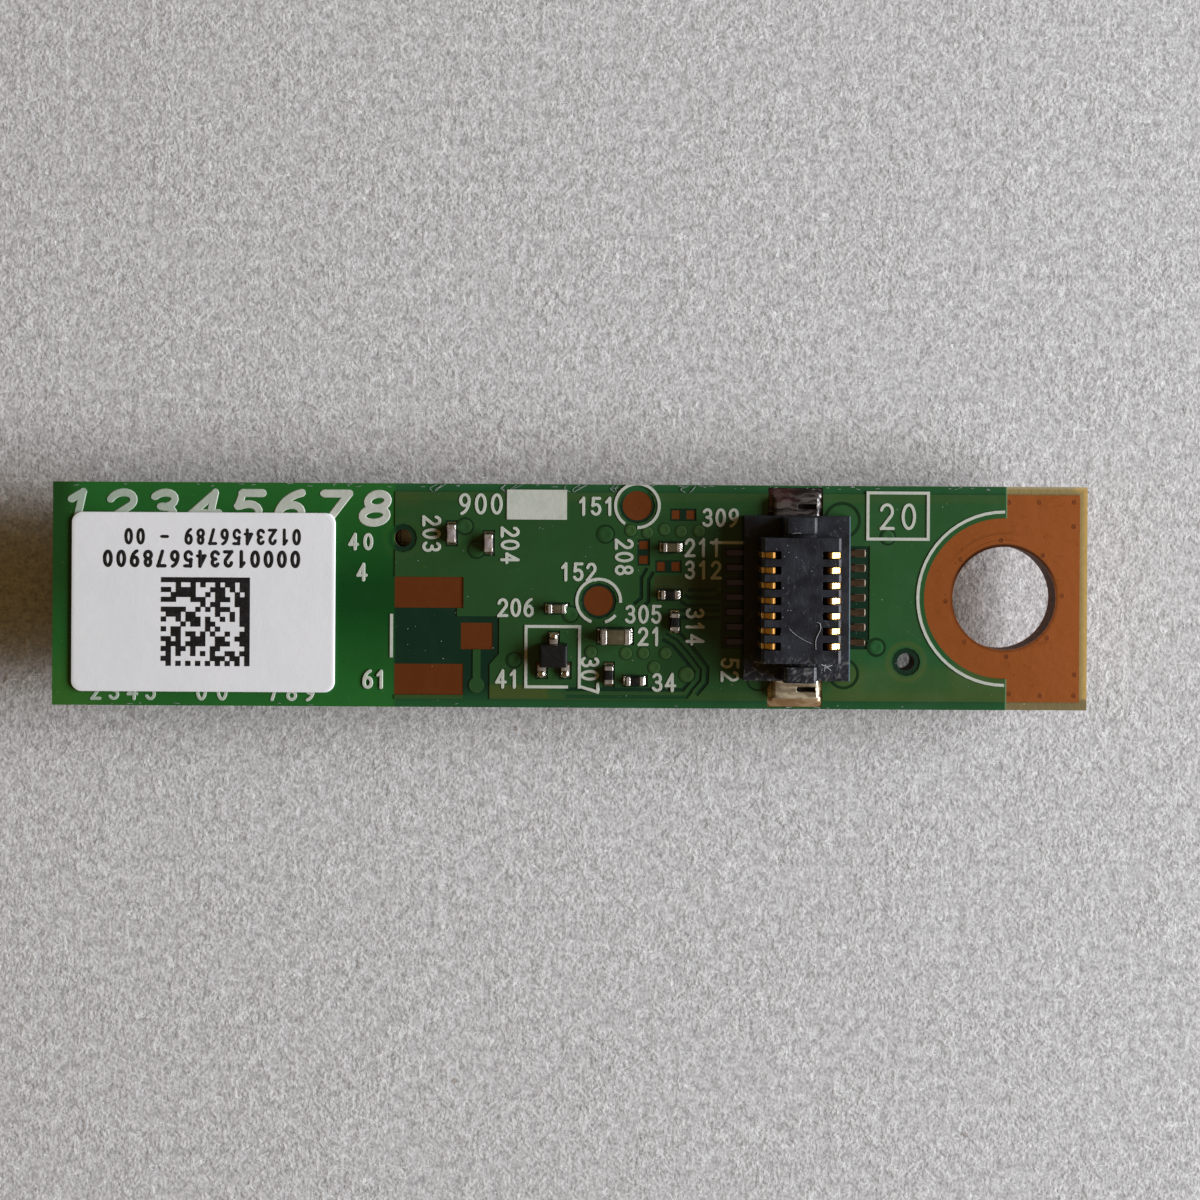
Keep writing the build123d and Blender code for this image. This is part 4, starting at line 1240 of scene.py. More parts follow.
class ScreenInk(Finish):
    """White screen-printed ink, thin enough for the green to show in places."""

    name = "screen_ink"

    def surface(self) -> Surface:
        """Off-white with thin, greenish patches and pinholes."""
        desk = self.desk
        thin = self.cloud(scale=2.2, cover=0.42, soft=0.22)
        colour = desk.blend(thin, linear(190, 192, 182), linear(176, 182, 170))
        old = desk.remap(self.xyz[0], ZONE_X - 2.5, -17.0)
        colour = self.tint(colour, old, 0.7, linear(142, 166, 148))
        holes = self.flecks(scale=9.0, size=0.13, share=0.2)
        colour = self.tint(colour, holes, 0.25, linear(120, 142, 118))
        grain = self.grain(broad=6.0, fine=30.0, share=0.6)
        return Surface(colour, 0.6, height=grain, bump=0.3, specular=0.3)


class LabelInk(Blotched):
    """Black printing on the label, a little uneven."""

    name = "label_ink"
    blotches = (5.0, 0.4, 0.2)
    tones = (linear(18, 18, 20), linear(40, 40, 44))
    rough = 0.5


class Lint(Blotched):
    """Grey-white fibres and dust flakes."""

    name = "lint"
    blotches = (4.0, 0.5, 0.3)
    tones = (linear(196, 198, 200), linear(150, 152, 156))
    rough = 0.7


class FloorPaper(Finish):
    """The plain pale floor: matt paper with a soft grain."""

    name = "floor_paper"

    def surface(self) -> Surface:
        """Pale grey felted fibres: curved pale lines over a grain that comes and goes in clouds."""
        desk = self.desk
        grain = self.grain(broad=3.0, fine=8.0, share=1.0)
        cloud = self.cloud(scale=0.45, cover=0.5, soft=0.3)
        depth = desk.remap(cloud, 0.0, 1.0, 0.9, 1.8)
        height = desk.times(grain, depth)
        tone = desk.remap(grain, 0.72, 1.22)
        colour = desk.blend(tone, linear(168, 167, 167), linear(217, 216, 216))
        for stretch in ((0.9, 2.4, 1.0), (2.2, 0.8, 1.0)):
            fibres = self.hairlines(stretch=stretch, width=0.012)
            colour = self.tint(colour, fibres, 0.55, linear(238, 238, 238))
            height = desk.calc("ADD", height, desk.times(fibres, 0.8))
        specks = self.flecks(scale=0.5, size=0.05, share=0.12)
        colour = self.tint(colour, specks, 0.5, linear(120, 96, 76))
        return Surface(colour, 0.9, height=height, bump=1.0, specular=0.2)


# ---- pieces


@dataclass
class Card:
    """The loaded frame with the finishes, shared by every piece."""

    frame: dict
    effects: Effects
    made: dict[type[Finish], Material] = field(default_factory=dict)

    def finish(self, kind: type[Finish]) -> Material:
        """The material of a kind of finish, built the first time it is asked for."""
        if kind not in self.made:
            self.made[kind] = kind(self.effects).material
        return self.made[kind]

    def node(self, name: str) -> bpy.types.Object:
        """A solid of the part."""
        return self.frame["nodes"][name]

    def box(self, name: str) -> tuple[np.ndarray, np.ndarray]:
        """Lowest and highest corner of a solid, in millimetres."""
        low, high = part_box(name)
        return np.array(low) / MM, np.array(high) / MM

    def dress(self, kind: type[Finish], *names: str) -> None:
        """Give solids their finish."""
        for name in names:
            cover(self.node(name).data, self.finish(kind))

    def softened(
        self, name: str, kind: type[Finish], width: float, angle: float = 35.0
    ) -> None:
        """Stand a copy with rounded edges in for a solid.

        Args:
            name: The solid.
            kind: The kind of its finish.
            width: Width of the rounding in millimetres.
            angle: Edges sharper than this are rounded.
        """
        mesh = self.node(name).data.copy()
        work = bmesh.new()
        work.from_mesh(mesh)
        bmesh.ops.remove_doubles(work, verts=work.verts[:], dist=0.0005 * MM)
        bmesh.ops.dissolve_limit(
            work, angle_limit=math.radians(1.0), verts=work.verts[:], edges=work.edges[:]
        )
        work.to_mesh(mesh)
        work.free()
        mesh.shade_smooth()
        copy = place(name + "_dressed", mesh, self.finish(kind), (name,))
        bevel = copy.modifiers.new("edges", "BEVEL")
        bevel.width, bevel.segments = width * MM, 2
        bevel.limit_method, bevel.angle_limit = "ANGLE", math.radians(angle)
        bevel.miter_outer = "MITER_ARC"
        even = copy.modifiers.new("normals", "WEIGHTED_NORMAL")
        even.keep_sharp = True


@dataclass(frozen=True)
class Joint:
    """A flat-bottomed metal end on a land: the solder climbs its faces.

    The end's local u points out of the piece, along the solder's toe.
    """

    x: float
    y: float
    turn: float
    width: float
    height: float
    toe: float
    side: float
    climb: float
    back: float

    def fillet(self, steps: int = 7) -> np.ndarray:
        """Work out the solder round the end.

        The path runs back along one side, round the end face and along the other side. At each
        place the section is a hollow quarter circle stretched to the reach and the height there:
        out by reach x (1 - sin a), up by height x (1 - cos a). Behind the wall it closes on itself.

        Args:
            steps: Points across the section.

        Returns:
            The rings, from one side's back end to the other's.
        """
        half, corner = self.width / 2, min(0.035, self.width / 4)
        run = np.linspace(0, 1, 5)
        bend = np.radians(np.linspace(-90, 0, 6))
        side = -self.back + (self.back - corner) * run
        round_v = -half + corner + corner * np.sin(bend)
        u = np.concatenate([side, -corner + corner * np.cos(bend), np.zeros(5)])
        v = np.concatenate([np.full(5, -half), round_v, -(half - corner) * (1 - run)])
        nu = np.concatenate([np.zeros(5), np.cos(bend), np.ones(5)])
        nv = np.concatenate([-np.ones(5), np.sin(bend), np.zeros(5)])
        u, nu = (np.concatenate([one, one[-2::-1]]) for one in (u, nu))
        v, nv = (np.concatenate([one, -one[-2::-1]]) for one in (v, nv))
        fade = np.clip((u + self.back) / self.back, 0.12, 1) ** 0.7
        reach = self.side + (self.toe - self.side) * nu ** 1.5
        rise = self.height * (0.45 * self.climb + 0.55 * self.climb * nu) * fade
        reach, rise, u, v, nu, nv = (one[:, None] for one in (reach, rise, u, v, nu, nv))
        a = np.linspace(0, math.pi / 2, steps)
        out = np.concatenate([reach * (1 - np.sin(a)), np.full((len(u), 2), -0.02)], axis=1)
        up = np.concatenate([rise * (1 - np.cos(a)), rise, np.zeros((len(u), 1))], axis=1)
        rings = np.stack([u + nu * out, v + nv * out, up], axis=-1)
        return turned(rings, self.turn, (self.x, self.y)) + [0, 0, LAND_TOP]


class Body(Enum):
    """What a two-ended chip is made of."""

    TAN = (Ceramic, Slot.CERAMIC)
    GREY = (GreyCeramic, Slot.CERAMIC)
    BLACK = (MouldCompound, Slot.BLACK)


@dataclass(frozen=True)
class Chip:
    """A two-ended chip on the upper face."""

    name: str
    body: Body
    band: float
    end_edge: float = 0.035

    def build(self, card: Card, solder: Shape) -> None:
        """Make the chip's body, its metal ends and its two solder joints.

        Args:
            card: The card it belongs to.
            solder: The shape that gathers all the solder.
        """
        low, high = card.box(self.name + "_ends")
        size, centre = high - low, (high[:2] + low[:2]) / 2
        upright = size[1] > size[0]
        length, width, tall = (*size[1::-1], size[2]) if upright else size
        turn, way = (90.0, np.array([0, 1])) if upright else (0.0, np.array([1, 0]))
        kind, slot = self.body.value
        core = (length - 0.06, width - 0.03, tall - 0.03)
        block = soft_block(centre, LAND_TOP + 0.015, core, corner=0.03, edge=0.02, turn=turn)
        body = Shape().add_loft(block)
        body.finish(self.name + "_core", card.finish(kind), slot, (self.name + "_body",))
        ends = Shape()
        for side in (-1, 1):
            spot = centre + way * side * (length - self.band) / 2
            cap, edge = (self.band, width, tall), self.end_edge
            ends.add_loft(soft_block(spot, LAND_TOP, cap, edge, edge, turn, sag=0.006))
            out = turn + (0.0 if side > 0 else 180.0)
            end = centre + way * side * length / 2
            joint = Joint(
                *end, out, width, tall, toe=0.085, side=0.012, climb=0.62, back=self.band * 0.8
            )
            solder.add_loft(joint.fillet())
        ends.finish(self.name + "_metal", card.finish(EndTin), Slot.TIN, (self.name + "_ends",))


@dataclass(frozen=True)
class Transistor:
    """The three-lead transistor in its printed box."""

    lead_thick: float = 0.12
    lead_width: float = 0.28
    wall_lean: float = 0.033
    lead_buried: float = 0.08
    blob_radius: float = 0.15
    blob_height: float = 0.15

    def build(self, card: Card, solder: Shape) -> None:
        """Make the body, the bent leads and their solder.

        Args:
            card: The card it belongs to.
            solder: The shape that gathers all the solder.
        """
        low, high = card.box("transistor_body")
        centre = ((low[0] + high[0]) / 2, (low[1] + high[1]) / 2)
        size = high - low
        block = soft_block(
            centre, low[2], size, corner=0.05, edge=0.03, taper=self.wall_lean, sag=0.004
        )
        body = Shape().add_loft(block)
        body.finish("transistor_case", card.finish(MouldCompound), Slot.BLACK, ("transistor_body",))
        feet_low, feet_high = card.box("transistor_leads")
        leads = Shape()
        half = self.lead_width / 2
        for x, way in ((feet_low[0] + half, 1), (feet_high[0] - half, 1), (centre[0], -1)):
            tip, wall = (feet_low[1], low[1]) if way > 0 else (feet_high[1], high[1])
            leads.add_loft(self._lead(x, tip, wall + self.lead_buried * way))
            turn = 270.0 if way > 0 else 90.0
            joint = Joint(
                x, tip, turn, self.lead_width, 0.16, toe=0.085, side=0.02, climb=0.9, back=0.2
            )
            solder.add_loft(joint.fillet())
            solder.add_loft(self._blob(x, tip + 0.05 * way))
        leads.finish("transistor_legs", card.finish(EndTin), Slot.TIN, ("transistor_leads",))

    def _blob(self, x: float, y: float) -> np.ndarray:
        """Solder that has run over a foot: half an ellipsoid, its radius the root of 1 - h x h.

        Args:
            x: Place along the board.
            y: Place across it.

        Returns:
            The rings from below to the top.
        """
        share = np.array([0.0, 0.0, 0.25, 0.5, 0.7, 0.85, 0.95, 0.99])
        radii = self.blob_radius * np.sqrt(1 - share**2)
        levels = LAND_TOP + self.lead_thick * 0.6 + self.blob_height * share
        levels[0] -= 0.05
        return ring_stack(x, y, radii, levels, 20)

    def _lead(self, x: float, tip: float, root: float) -> np.ndarray:
        """One stamped leg: a flat foot that rises into the body.

        The section is a rounded strip carried along the leg; its middle line runs flat from the
        tip and climbs in a smooth step towards the body.

        Args:
            x: The leg's middle.
            tip: Where the foot ends.
            root: Where it enters the body.

        Returns:
            The rings from tip to root.
        """
        share = np.linspace(0, 1, 14)
        y = tip + (root - tip) * share
        lift = LAND_TOP + self.lead_thick / 2 + 0.09 * (3 * share**2 - 2 * share**3) * (share > 0)
        base, outward = rounded_outline(self.lead_width / 2, self.lead_thick / 2, 0.03, 3)
        section = base + outward * 0.03
        rings = np.empty((len(share), len(section), 3))
        rings[..., 0] = x + section[:, 0]
        rings[..., 1] = y[:, None]
        rings[..., 2] = lift[:, None] + section[:, 1]
        return rings


@dataclass(frozen=True)
class Tab:
    """One hold-down tab: a shallow bent channel with a slot, soldered down on its land."""

    name: str
    low: np.ndarray
    high: np.ndarray
    thick: float = 0.12
    corner: float = 0.12
    slot_half: tuple[float, float] = (0.34, 0.085)
    slot_x: float = 0.36
    slot_from_end: float = 0.31

    def build(self, card: Card) -> None:
        """Make the channel, the solder round its end and the solder seen in its slot.

        Args:
            card: The card it belongs to.
        """
        upper = self.high[1] > 0
        end = self.high[1] if upper else self.low[1]
        slot_y = end - math.copysign(self.slot_from_end, end)
        metal = Shape().add_band(self._channel(slot_y))
        width, _, height = self.high - self.low
        turn = 90.0 if upper else 270.0
        joint = Joint(
            CONNECTOR_X, end, turn, width, height, toe=0.30, side=0.13, climb=0.62, back=0.5
        )
        metal.add_loft(joint.fillet(9))
        metal.finish(self.name + "_metal", card.finish(TabTin), Slot.TIN, (self.name,))
        slot = (CONNECTOR_X + self.slot_x, slot_y)
        # The solder in the slot is near black: painted shade from the dark solder finish.
        pool = Shape().add_loft(
            soft_block(slot, LAND_TOP, (0.80, 0.26, 0.09), corner=0.05, edge=0.02, sag=0.02)
        )
        pool.finish(self.name + "_slot_solder", card.finish(DarkSolder), Slot.TIN)

    def _channel(self, slot_y: float) -> np.ndarray:
        """Rings from the slot's lower edge up and over the top, down outside and back under.

        The outer edge's radius is 0.03 plus 0.08 times the square of the sideways part of the
        outward vector, so the two long sides bend and the ends are only deburred. The outer wall
        reaches the land where that part is one, and the plate's underside where it is none.

        Args:
            slot_y: Middle of the slot across the board.

        Returns:
            The rings.
        """
        half = (self.high[:2] - self.low[:2]) / 2
        middle = (self.high[:2] + self.low[:2]) / 2
        base, outward = rounded_outline(*half, self.corner)
        slot_base, slot_outward = rounded_outline(*self.slot_half, 0.06)
        slot_centre = np.array([CONNECTOR_X + self.slot_x, slot_y])
        sideways = outward[:, 0] ** 2
        edge = 0.03 + 0.08 * sideways
        top, plate = self.high[2], self.high[2] - self.thick
        foot = plate - (plate - self.low[2]) * sideways**2

        def outer(inset: np.ndarray | float) -> np.ndarray:
            """The outer edge, moved in."""
            reach = np.broadcast_to(self.corner - inset, sideways.shape)
            return middle + base + outward * reach[:, None]

        def slot(grow: float) -> np.ndarray:
            """The slot's edge, moved out."""
            return slot_centre + slot_base + slot_outward * (0.06 + grow)

        inner_top, outer_top = slot(0.02), outer(edge)
        flats = [slot(0.0), slot(0.0), inner_top]
        levels = [plate, top - 0.02, top]
        for share, sag in ((0.35, 0.010), (0.7, 0.008)):
            flats.append(inner_top * (1 - share) + outer_top * share)
            levels.append(top - sag)
        for turn in np.radians([0, 30, 60, 90]):
            flats.append(outer(edge * (1 - math.sin(turn))))
            levels.append(top - edge * (1 - math.cos(turn)))
        flats += [outer(0.0), outer(self.thick), outer(self.thick)]
        levels += [foot, foot, plate]
        height = np.stack([np.broadcast_to(level, sideways.shape) for level in levels])
        return np.concatenate([np.stack(flats), height[..., None]], axis=-1)


@dataclass
class Connector:
    """The board-to-board plug: plastic body, two rows of bent contacts and two hold-down tabs."""

    pitch: float = 0.5
    per_row: int = 7
    tongue_half: float = 1.31
    tongue_top: float = 3.27
    bridge: float = 0.46
    tip_depth: float = 0.45
    thick: float = 0.10
    width: float = 0.20
    tail: float = 2.325
    bend: float = 0.062
    crown: tuple[float, float] = (0.27, 0.15)

    def build(self, card: Card) -> None:
        """Make the body, the contacts, the tabs and their solder.

        Args:
            card: The card it belongs to.
        """
        card.softened("connector_housing", MouldedPlastic, 0.022)
        contacts, tails = Shape(), Shape()
        rows = (np.arange(self.per_row) - (self.per_row - 1) / 2) * self.pitch
        for y in rows:
            for side in (-1, 1):
                contacts.add_loft(self._contact(y, side))
                x, turn = CONNECTOR_X + side * self.tail, 0.0 if side > 0 else 180.0
                joint = Joint(
                    x, y, turn, self.width, self.thick, toe=0.075, side=0.032, climb=0.85, back=0.3
                )
                tails.add_loft(joint.fillet(5))
        tails.finish("tail_solder", card.finish(DarkSolder), Slot.TIN)
        gold, stands_for = card.finish(ContactGold), ("connector_contacts",)
        contacts.finish("contact_strips", gold, Slot.GOLD, stands_for)
        for name in ("hold_down_tab_1", "hold_down_tab_2"):
            low, high = card.box(name)
            Tab(name, low, high).build(card)

    def _middle_line(self, half: float) -> np.ndarray:
        """A contact's middle line in the upright plane, as distance from the centre and level.

        The outer leg turns over the tongue's edge on a flat slope, wide enough to catch the light;
        every corner is a small arc.

        Args:
            half: Half the contact's thickness.

        Returns:
            The line's points.
        """
        wall, top = self.tongue_half - half, self.tongue_top - half
        inner = self.tongue_half - self.bridge + half
        wide, tall = self.crown
        corners = [
            (self.tail, LAND_TOP + half), (wall, LAND_TOP + half), (wall, top - tall),
            (wall - wide, top), (inner, top), (inner, self.tongue_top - self.tip_depth),
        ]
        return rounded_path(corners, self.bend)

    def _contact(self, y: float, side: int) -> np.ndarray:
        """One stamped contact: tail, outer leg, bridge over the tongue's edge, inner leg.

        The middle line is a path of straight runs and arcs in an upright plane; a strip with
        slightly round edges is carried along it.

        Args:
            y: The contact's middle.
            side: 1 for the row nearer the screw hole, -1 for the other.

        Returns:
            The rings from the tail's tip to the inner leg's.
        """
        half = self.thick / 2
        path = self._middle_line(half)
        normal = path_normals(path)
        base, outward = rounded_outline(self.width / 2, half, 0.02, 3)
        section = base + outward * 0.02
        rings = np.empty((len(path), len(section), 3))
        rings[..., 0] = CONNECTOR_X + side * (path[:, None, 0] + normal[:, None, 0] * section[:, 1])
        rings[..., 1] = y + section[:, 0]
        rings[..., 2] = path[:, None, 1] + normal[:, None, 1] * section[:, 1]
        return rings


# ---- printing


def bow(
    x: float, y: float, rx: float, ry: float, start: float, stop: float, steps: int
) -> list[tuple[float, float]]:
    """Points on part of an ellipse, angles in degrees."""
    turn = np.radians(np.linspace(start, stop, steps))
    return list(zip(x + rx * np.cos(turn), y + ry * np.sin(turn)))


def digit_strokes() -> dict[str, list[list[tuple[float, float]]]]:
    """Single-line figures in a cell 0.6 wide and 1 high."""
    six = [bow(0.30, 0.30, 0.27, 0.30, 0, 360, 22), bow(0.62, 0.30, 0.59, 0.74, 105, 180, 9)]
    return {
        "0": [bow(0.30, 0.50, 0.28, 0.50, 90, 450, 26)],
        "1": [[(0.12, 0.78), (0.34, 1.0), (0.34, 0.0)]],
        "2": [[*bow(0.30, 0.71, 0.27, 0.29, 165, -30, 12), (0.03, 0.0), (0.60, 0.0)]],
        "3": [bow(0.28, 0.75, 0.25, 0.25, 150, -80, 12), bow(0.28, 0.26, 0.29, 0.26, 95, -150, 14)],
        "4": [[(0.44, 0.0), (0.44, 1.0)], [(0.42, 0.96), (0.02, 0.30), (0.62, 0.30)]],
        "5": [[(0.55, 1), (0.10, 1), (0.06, 0.56), *bow(0.28, 0.31, 0.29, 0.31, 125, -150, 14)]],
        "6": six,
        "7": [[(0.02, 1.0), (0.58, 1.0), (0.22, 0.0)]],
        "8": [bow(0.30, 0.75, 0.23, 0.25, 90, 450, 20), bow(0.30, 0.25, 0.28, 0.25, 90, 450, 22)],
        "9": [[(0.6 - x, 1.0 - y) for x, y in stroke] for stroke in six],
        "-": [[(0.05, 0.5), (0.55, 0.5)]],
        " ": [],
    }


STROKES = digit_strokes()


def softened_path(path: np.ndarray, rounds: int = 2) -> np.ndarray:
    """Cut each corner of a path at a quarter of both its runs, a few times over.

    Args:
        path: Points along the path.
        rounds: How many times over.

    Returns:
        The softer path, or the same one where it closes on itself.
    """
    if np.linalg.norm(path[0] - path[-1]) < SAME_PLACE:
        return path
    for _ in range(rounds):
        first, second = path[:-1] * 0.75 + path[1:] * 0.25, path[:-1] * 0.25 + path[1:] * 0.75
        cut = np.stack([first, second], axis=1).reshape(-1, path.shape[1])
        path = np.concatenate([path[:1], cut, path[-1:]])
    return path


def cut_at_corners(path: np.ndarray, turn: float = 50.0) -> list[np.ndarray]:
    """Split a path where it turns by more than an angle in degrees.

    Args:
        path: Points along the path.
        turn: The angle.

    Returns:
        The runs.
    """
    ways = np.diff(path, axis=0)
    heading = np.arctan2(ways[:, 1], ways[:, 0])
    bend = np.abs((np.diff(heading) + math.pi) % (2 * math.pi) - math.pi)
    cuts = [0, *(np.flatnonzero(bend > math.radians(turn)) + 1), len(path) - 1]
    return [path[first : last + 1] for first, last in zip(cuts[:-1], cuts[1:])]


def ridge_loop(loop: np.ndarray, across: np.ndarray, level: np.ndarray) -> np.ndarray:
    """Rings of a printed line that closes on itself, square to the chord over two neighbours.

    Args:
        loop: Points along the line, the first one not repeated.
        across: Places of the section's corners across the line.
        level: Their levels.

    Returns:
        One ring for each point.
    """
    ways = np.roll(loop, -1, axis=0) - np.roll(loop, 1, axis=0)
    ways /= np.linalg.norm(ways, axis=1, keepdims=True)
    normal = np.stack([-ways[:, 1], ways[:, 0]], axis=1)
    rings = np.empty((len(loop), len(across), 3))
    rings[..., :2] = loop[:, None] + normal[:, None] * across[None, :, None]
    rings[..., 2] = level
    return rings


def ridge(path: np.ndarray, across: np.ndarray, level: np.ndarray) -> np.ndarray:
    """Rings of a printed line with round ends.

    Past each end of the path the width falls as the root of 1 - s x s, s being the share of
    half a width, so that the end is round.

    Args:
        path: Points along the line.
        across: Places of the section's corners across the line.
        level: Their levels.

    Returns:
        The rings from end to end.
    """
    apart = np.linalg.norm(np.diff(path, axis=0), axis=1) > 10 * SAME_PLACE
    path = path[np.concatenate([[True], apart])]
    past = np.array([1.0, 0.92, 0.7, 0.35])
    reach = past[:, None] * across[-1]
    start, end = path[0] - path[1], path[-1] - path[-2]
    start, end = start / np.linalg.norm(start), end / np.linalg.norm(end)
    run = np.concatenate([path[0] + start * reach, path, path[-1] + end * reach[::-1]])
    thin = np.sqrt(np.maximum(1 - past**2, 0.01))
    share = np.concatenate([thin, np.ones(len(path)), thin[::-1]])
    rings = np.empty((len(run), len(across), 3))
    wide = (share[:, None] * across[None])[..., None]
    rings[..., :2] = run[:, None] + path_normals(run)[:, None] * wide
    rings[..., 2] = level
    return rings


class Way(Enum):
    """Which way a printed number reads."""

    RIGHT = 0.0
    DOWN = -90.0
    TURNED = 180.0


@dataclass(frozen=True)
class Number:
    """A printed number, centred on a place."""

    text: str
    x: float
    y: float
    way: Way = Way.RIGHT
    height: float = 0.54
    pitch: float = 0.44
    line: float = 0.12
    narrow: float = 0.86
    slant: float = 0.0

    def draw(self, shape: Shape, low: float, high: float) -> None:
        """Add the number's strokes to a shape.

        Args:
            shape: Where the strokes go.
            low: Level of the ink's underside.
            high: Level of its top.
        """
        start = -(len(self.text) - 1) * self.pitch / 2
        for place_in_line, figure in enumerate(self.text):
            strokes = [np.array(stroke, float) for stroke in STROKES[figure]]
            runs = [run for stroke in strokes for run in cut_at_corners(stroke)]
            middle = start + place_in_line * self.pitch
            for layer, points in enumerate(runs):
                flat = np.zeros((len(points), 3))
                flat[:, 0] = (points[:, 0] - 0.3) * self.height * self.narrow + middle
                flat[:, 1] = (points[:, 1] - 0.5) * self.height
                flat[:, 0] += flat[:, 1] * self.slant
                path = turned(flat, self.way.value, (self.x, self.y))[:, :2]
                shape.add_line(path, self.line, low, high - 0.001 * layer)


@dataclass(frozen=True)
class BoardPrint:
    """The white printing on the mask: printed shapes and plain numbers, some under the label."""

    numbers: tuple[Number, ...] = (
        Number("900", -3.04, 3.10, height=0.62, pitch=0.54),
        Number("151", 0.86, 3.04),
        Number("152", 0.27, 0.82),
        Number("203", -4.69, 2.08, Way.DOWN),
        Number("204", -2.04, 1.72, Way.DOWN),
        Number("206", -1.84, -0.40),
        Number("208", 1.82, 1.33, Way.DOWN),
        Number("305", 2.48, -0.60),
        Number("21", 2.69, -1.35),
        Number("34", 3.18, -2.90),
        Number("307", 0.68, -2.67, Way.DOWN),
        Number("41", -2.11, -2.81),
        Number("309", 5.07, 2.68),
        Number("211", 4.48, 1.66),
        Number("312", 4.49, 0.91),
        Number("314", 4.23, -1.00, Way.DOWN),
        Number("52", 5.42, -2.46, Way.DOWN),
        Number("61", -6.61, -2.85),
        Number("20", 11.06, 2.75, height=0.80, pitch=0.74, line=0.125),
    )
    zone_numbers: tuple[Number, ...] = (
        Number("12345678", -11.62, 2.93, Way.RIGHT, 0.98, 1.44, 0.29, 1.5, 0.22),
        Number("40", -7.09, 1.80, height=0.48, pitch=0.50),
        Number("4", -7.05, 0.77, height=0.52),
        Number("2345", -15.10, -3.28, pitch=0.62),
        Number("00", -12.10, -3.28, pitch=0.70),
        Number("789", -9.40, -3.28, pitch=0.62),
    )

    def build(self, card: Card) -> None:
        """Dress the printed shapes and print the numbers.

        Args:
            card: The card it belongs to.
        """
        card.dress(ScreenInk, "printed_ink")
        print_shape = Shape()
        for number in self.numbers:
            number.draw(print_shape, BARE_TOP - 0.005, MASK_TOP + 0.016)
        for number in self.zone_numbers:
            number.draw(print_shape, BARE_TOP - 0.005, BARE_TOP + 0.014)
        print_shape.finish("printed_numbers", card.finish(ScreenInk), Slot.INK, crease=20.0)


@dataclass(frozen=True)
class Label:
    """The white paper label with plain figures and a field of loose squares."""

    x: float = -12.39
    y: float = -0.27
    length: float = 8.90
    width: float = 6.06
    corner: float = 0.35
    low: float = 1.95
    thick: float = 0.08
    cells: int = 18
    cell: float = 0.166
    field_x: float = -12.30
    field_y: float = -0.93
    dark_share: float = 0.46
    ink_thick: float = 0.006
    seed: int = 11

    def build(self, card: Card) -> None:
        """Make the paper and its printing.

        Args:
            card: The card it belongs to.
        """
        self._sheet(card)
        printing = Shape()
        top = self.low + self.thick
        lines = (
            Number("0123456789 - 00", -12.07, 1.94, Way.TURNED, 0.46, 0.405, 0.125, 0.72),
            Number("000012345678900", -12.44, 1.19, Way.TURNED, 0.48, 0.452, 0.14, 0.80),
        )
        for line in lines:
            line.draw(printing, top - 0.008, top + self.ink_thick)
        self._squares(printing, top)
        printing.finish("label_printing", card.finish(LabelInk), Slot.INK)

    def _sheet(self, card: Card) -> None:
        """The paper: rings that shrink from the cut edge to the middle, on a faintly wavy level.

        The level adds 2 micrometres x sin(0.9 x) x cos(1.1 y), and the outermost rings turn down.

        Args:
            card: The card it belongs to.
        """
        base, outward = rounded_outline(self.length / 2, self.width / 2, self.corner, 9)
        rim = base + outward * self.corner
        inset = np.array([0.0, 0.0, 0.012, 0.03])
        outer = base[None] + outward[None] * (self.corner - inset)[:, None, None]
        drop = np.array([self.thick, 0.02, 0.005, 0.0])
        inner = rim[None] * np.linspace(0.97, 0.02, 14)[:, None, None]
        flat = np.concatenate([outer, inner])
        level = np.concatenate([self.thick - drop, np.full(14, self.thick)])
        wave = 0.002 * np.sin(0.9 * flat[..., 0]) * np.cos(1.1 * flat[..., 1])
        height = self.low + level[:, None] + wave * (level[:, None] > self.thick * 0.99)
        height = np.minimum(height, self.low + self.thick)
        rings = np.concatenate([flat + [self.x, self.y], height[..., None]], axis=-1)
        sheet = Shape().add_loft(rings)
        sheet.finish("label_sheet", card.finish(LabelPaper), Slot.PAPER, ("label",))

    def _squares(self, printing: Shape, top: float) -> None:
        """A square field: two solid sides, two dotted sides and loose squares at random inside.

        Args:
            printing: The shape that takes them.
            top: Level of the paper's upper face.
        """
        draw = np.random.default_rng(self.seed)
        filled = draw.random((self.cells, self.cells)) < self.dark_share
        filled[0, :] = True
        filled[:, -1] = True
        filled[-1, :] = np.arange(self.cells) % 2 == 1
        filled[1:, 0] = np.arange(1, self.cells) % 2 == 0
        rows, columns = np.nonzero(filled)
        half = self.cell * 0.52
        left = self.field_x + (columns - (self.cells - 1) / 2) * self.cell
        level = self.field_y - (rows - (self.cells - 1) / 2) * self.cell
        signs = np.array([[-1, -1], [1, -1], [1, 1], [-1, 1]]) * half
        corners = np.stack([left[:, None] + signs[:, 0], level[:, None] + signs[:, 1]], axis=-1)
        spots = np.empty((len(rows), 8, 3))
        spots[..., :2] = np.tile(corners, (1, 2, 1))
        spots[:, :4, 2], spots[:, 4:, 2] = top - self.ink_thick, top + self.ink_thick
        sides = [[i, (i + 1) % 4, (i + 1) % 4 + 4, i + 4] for i in range(4)]
        faces = np.array([[3, 2, 1, 0], [4, 5, 6, 7], *sides])
        quads = (faces[None] + 8 * np.arange(len(rows))[:, None, None]).reshape(-1, 4)
        printing.add(spots, quads)


# ---- board details


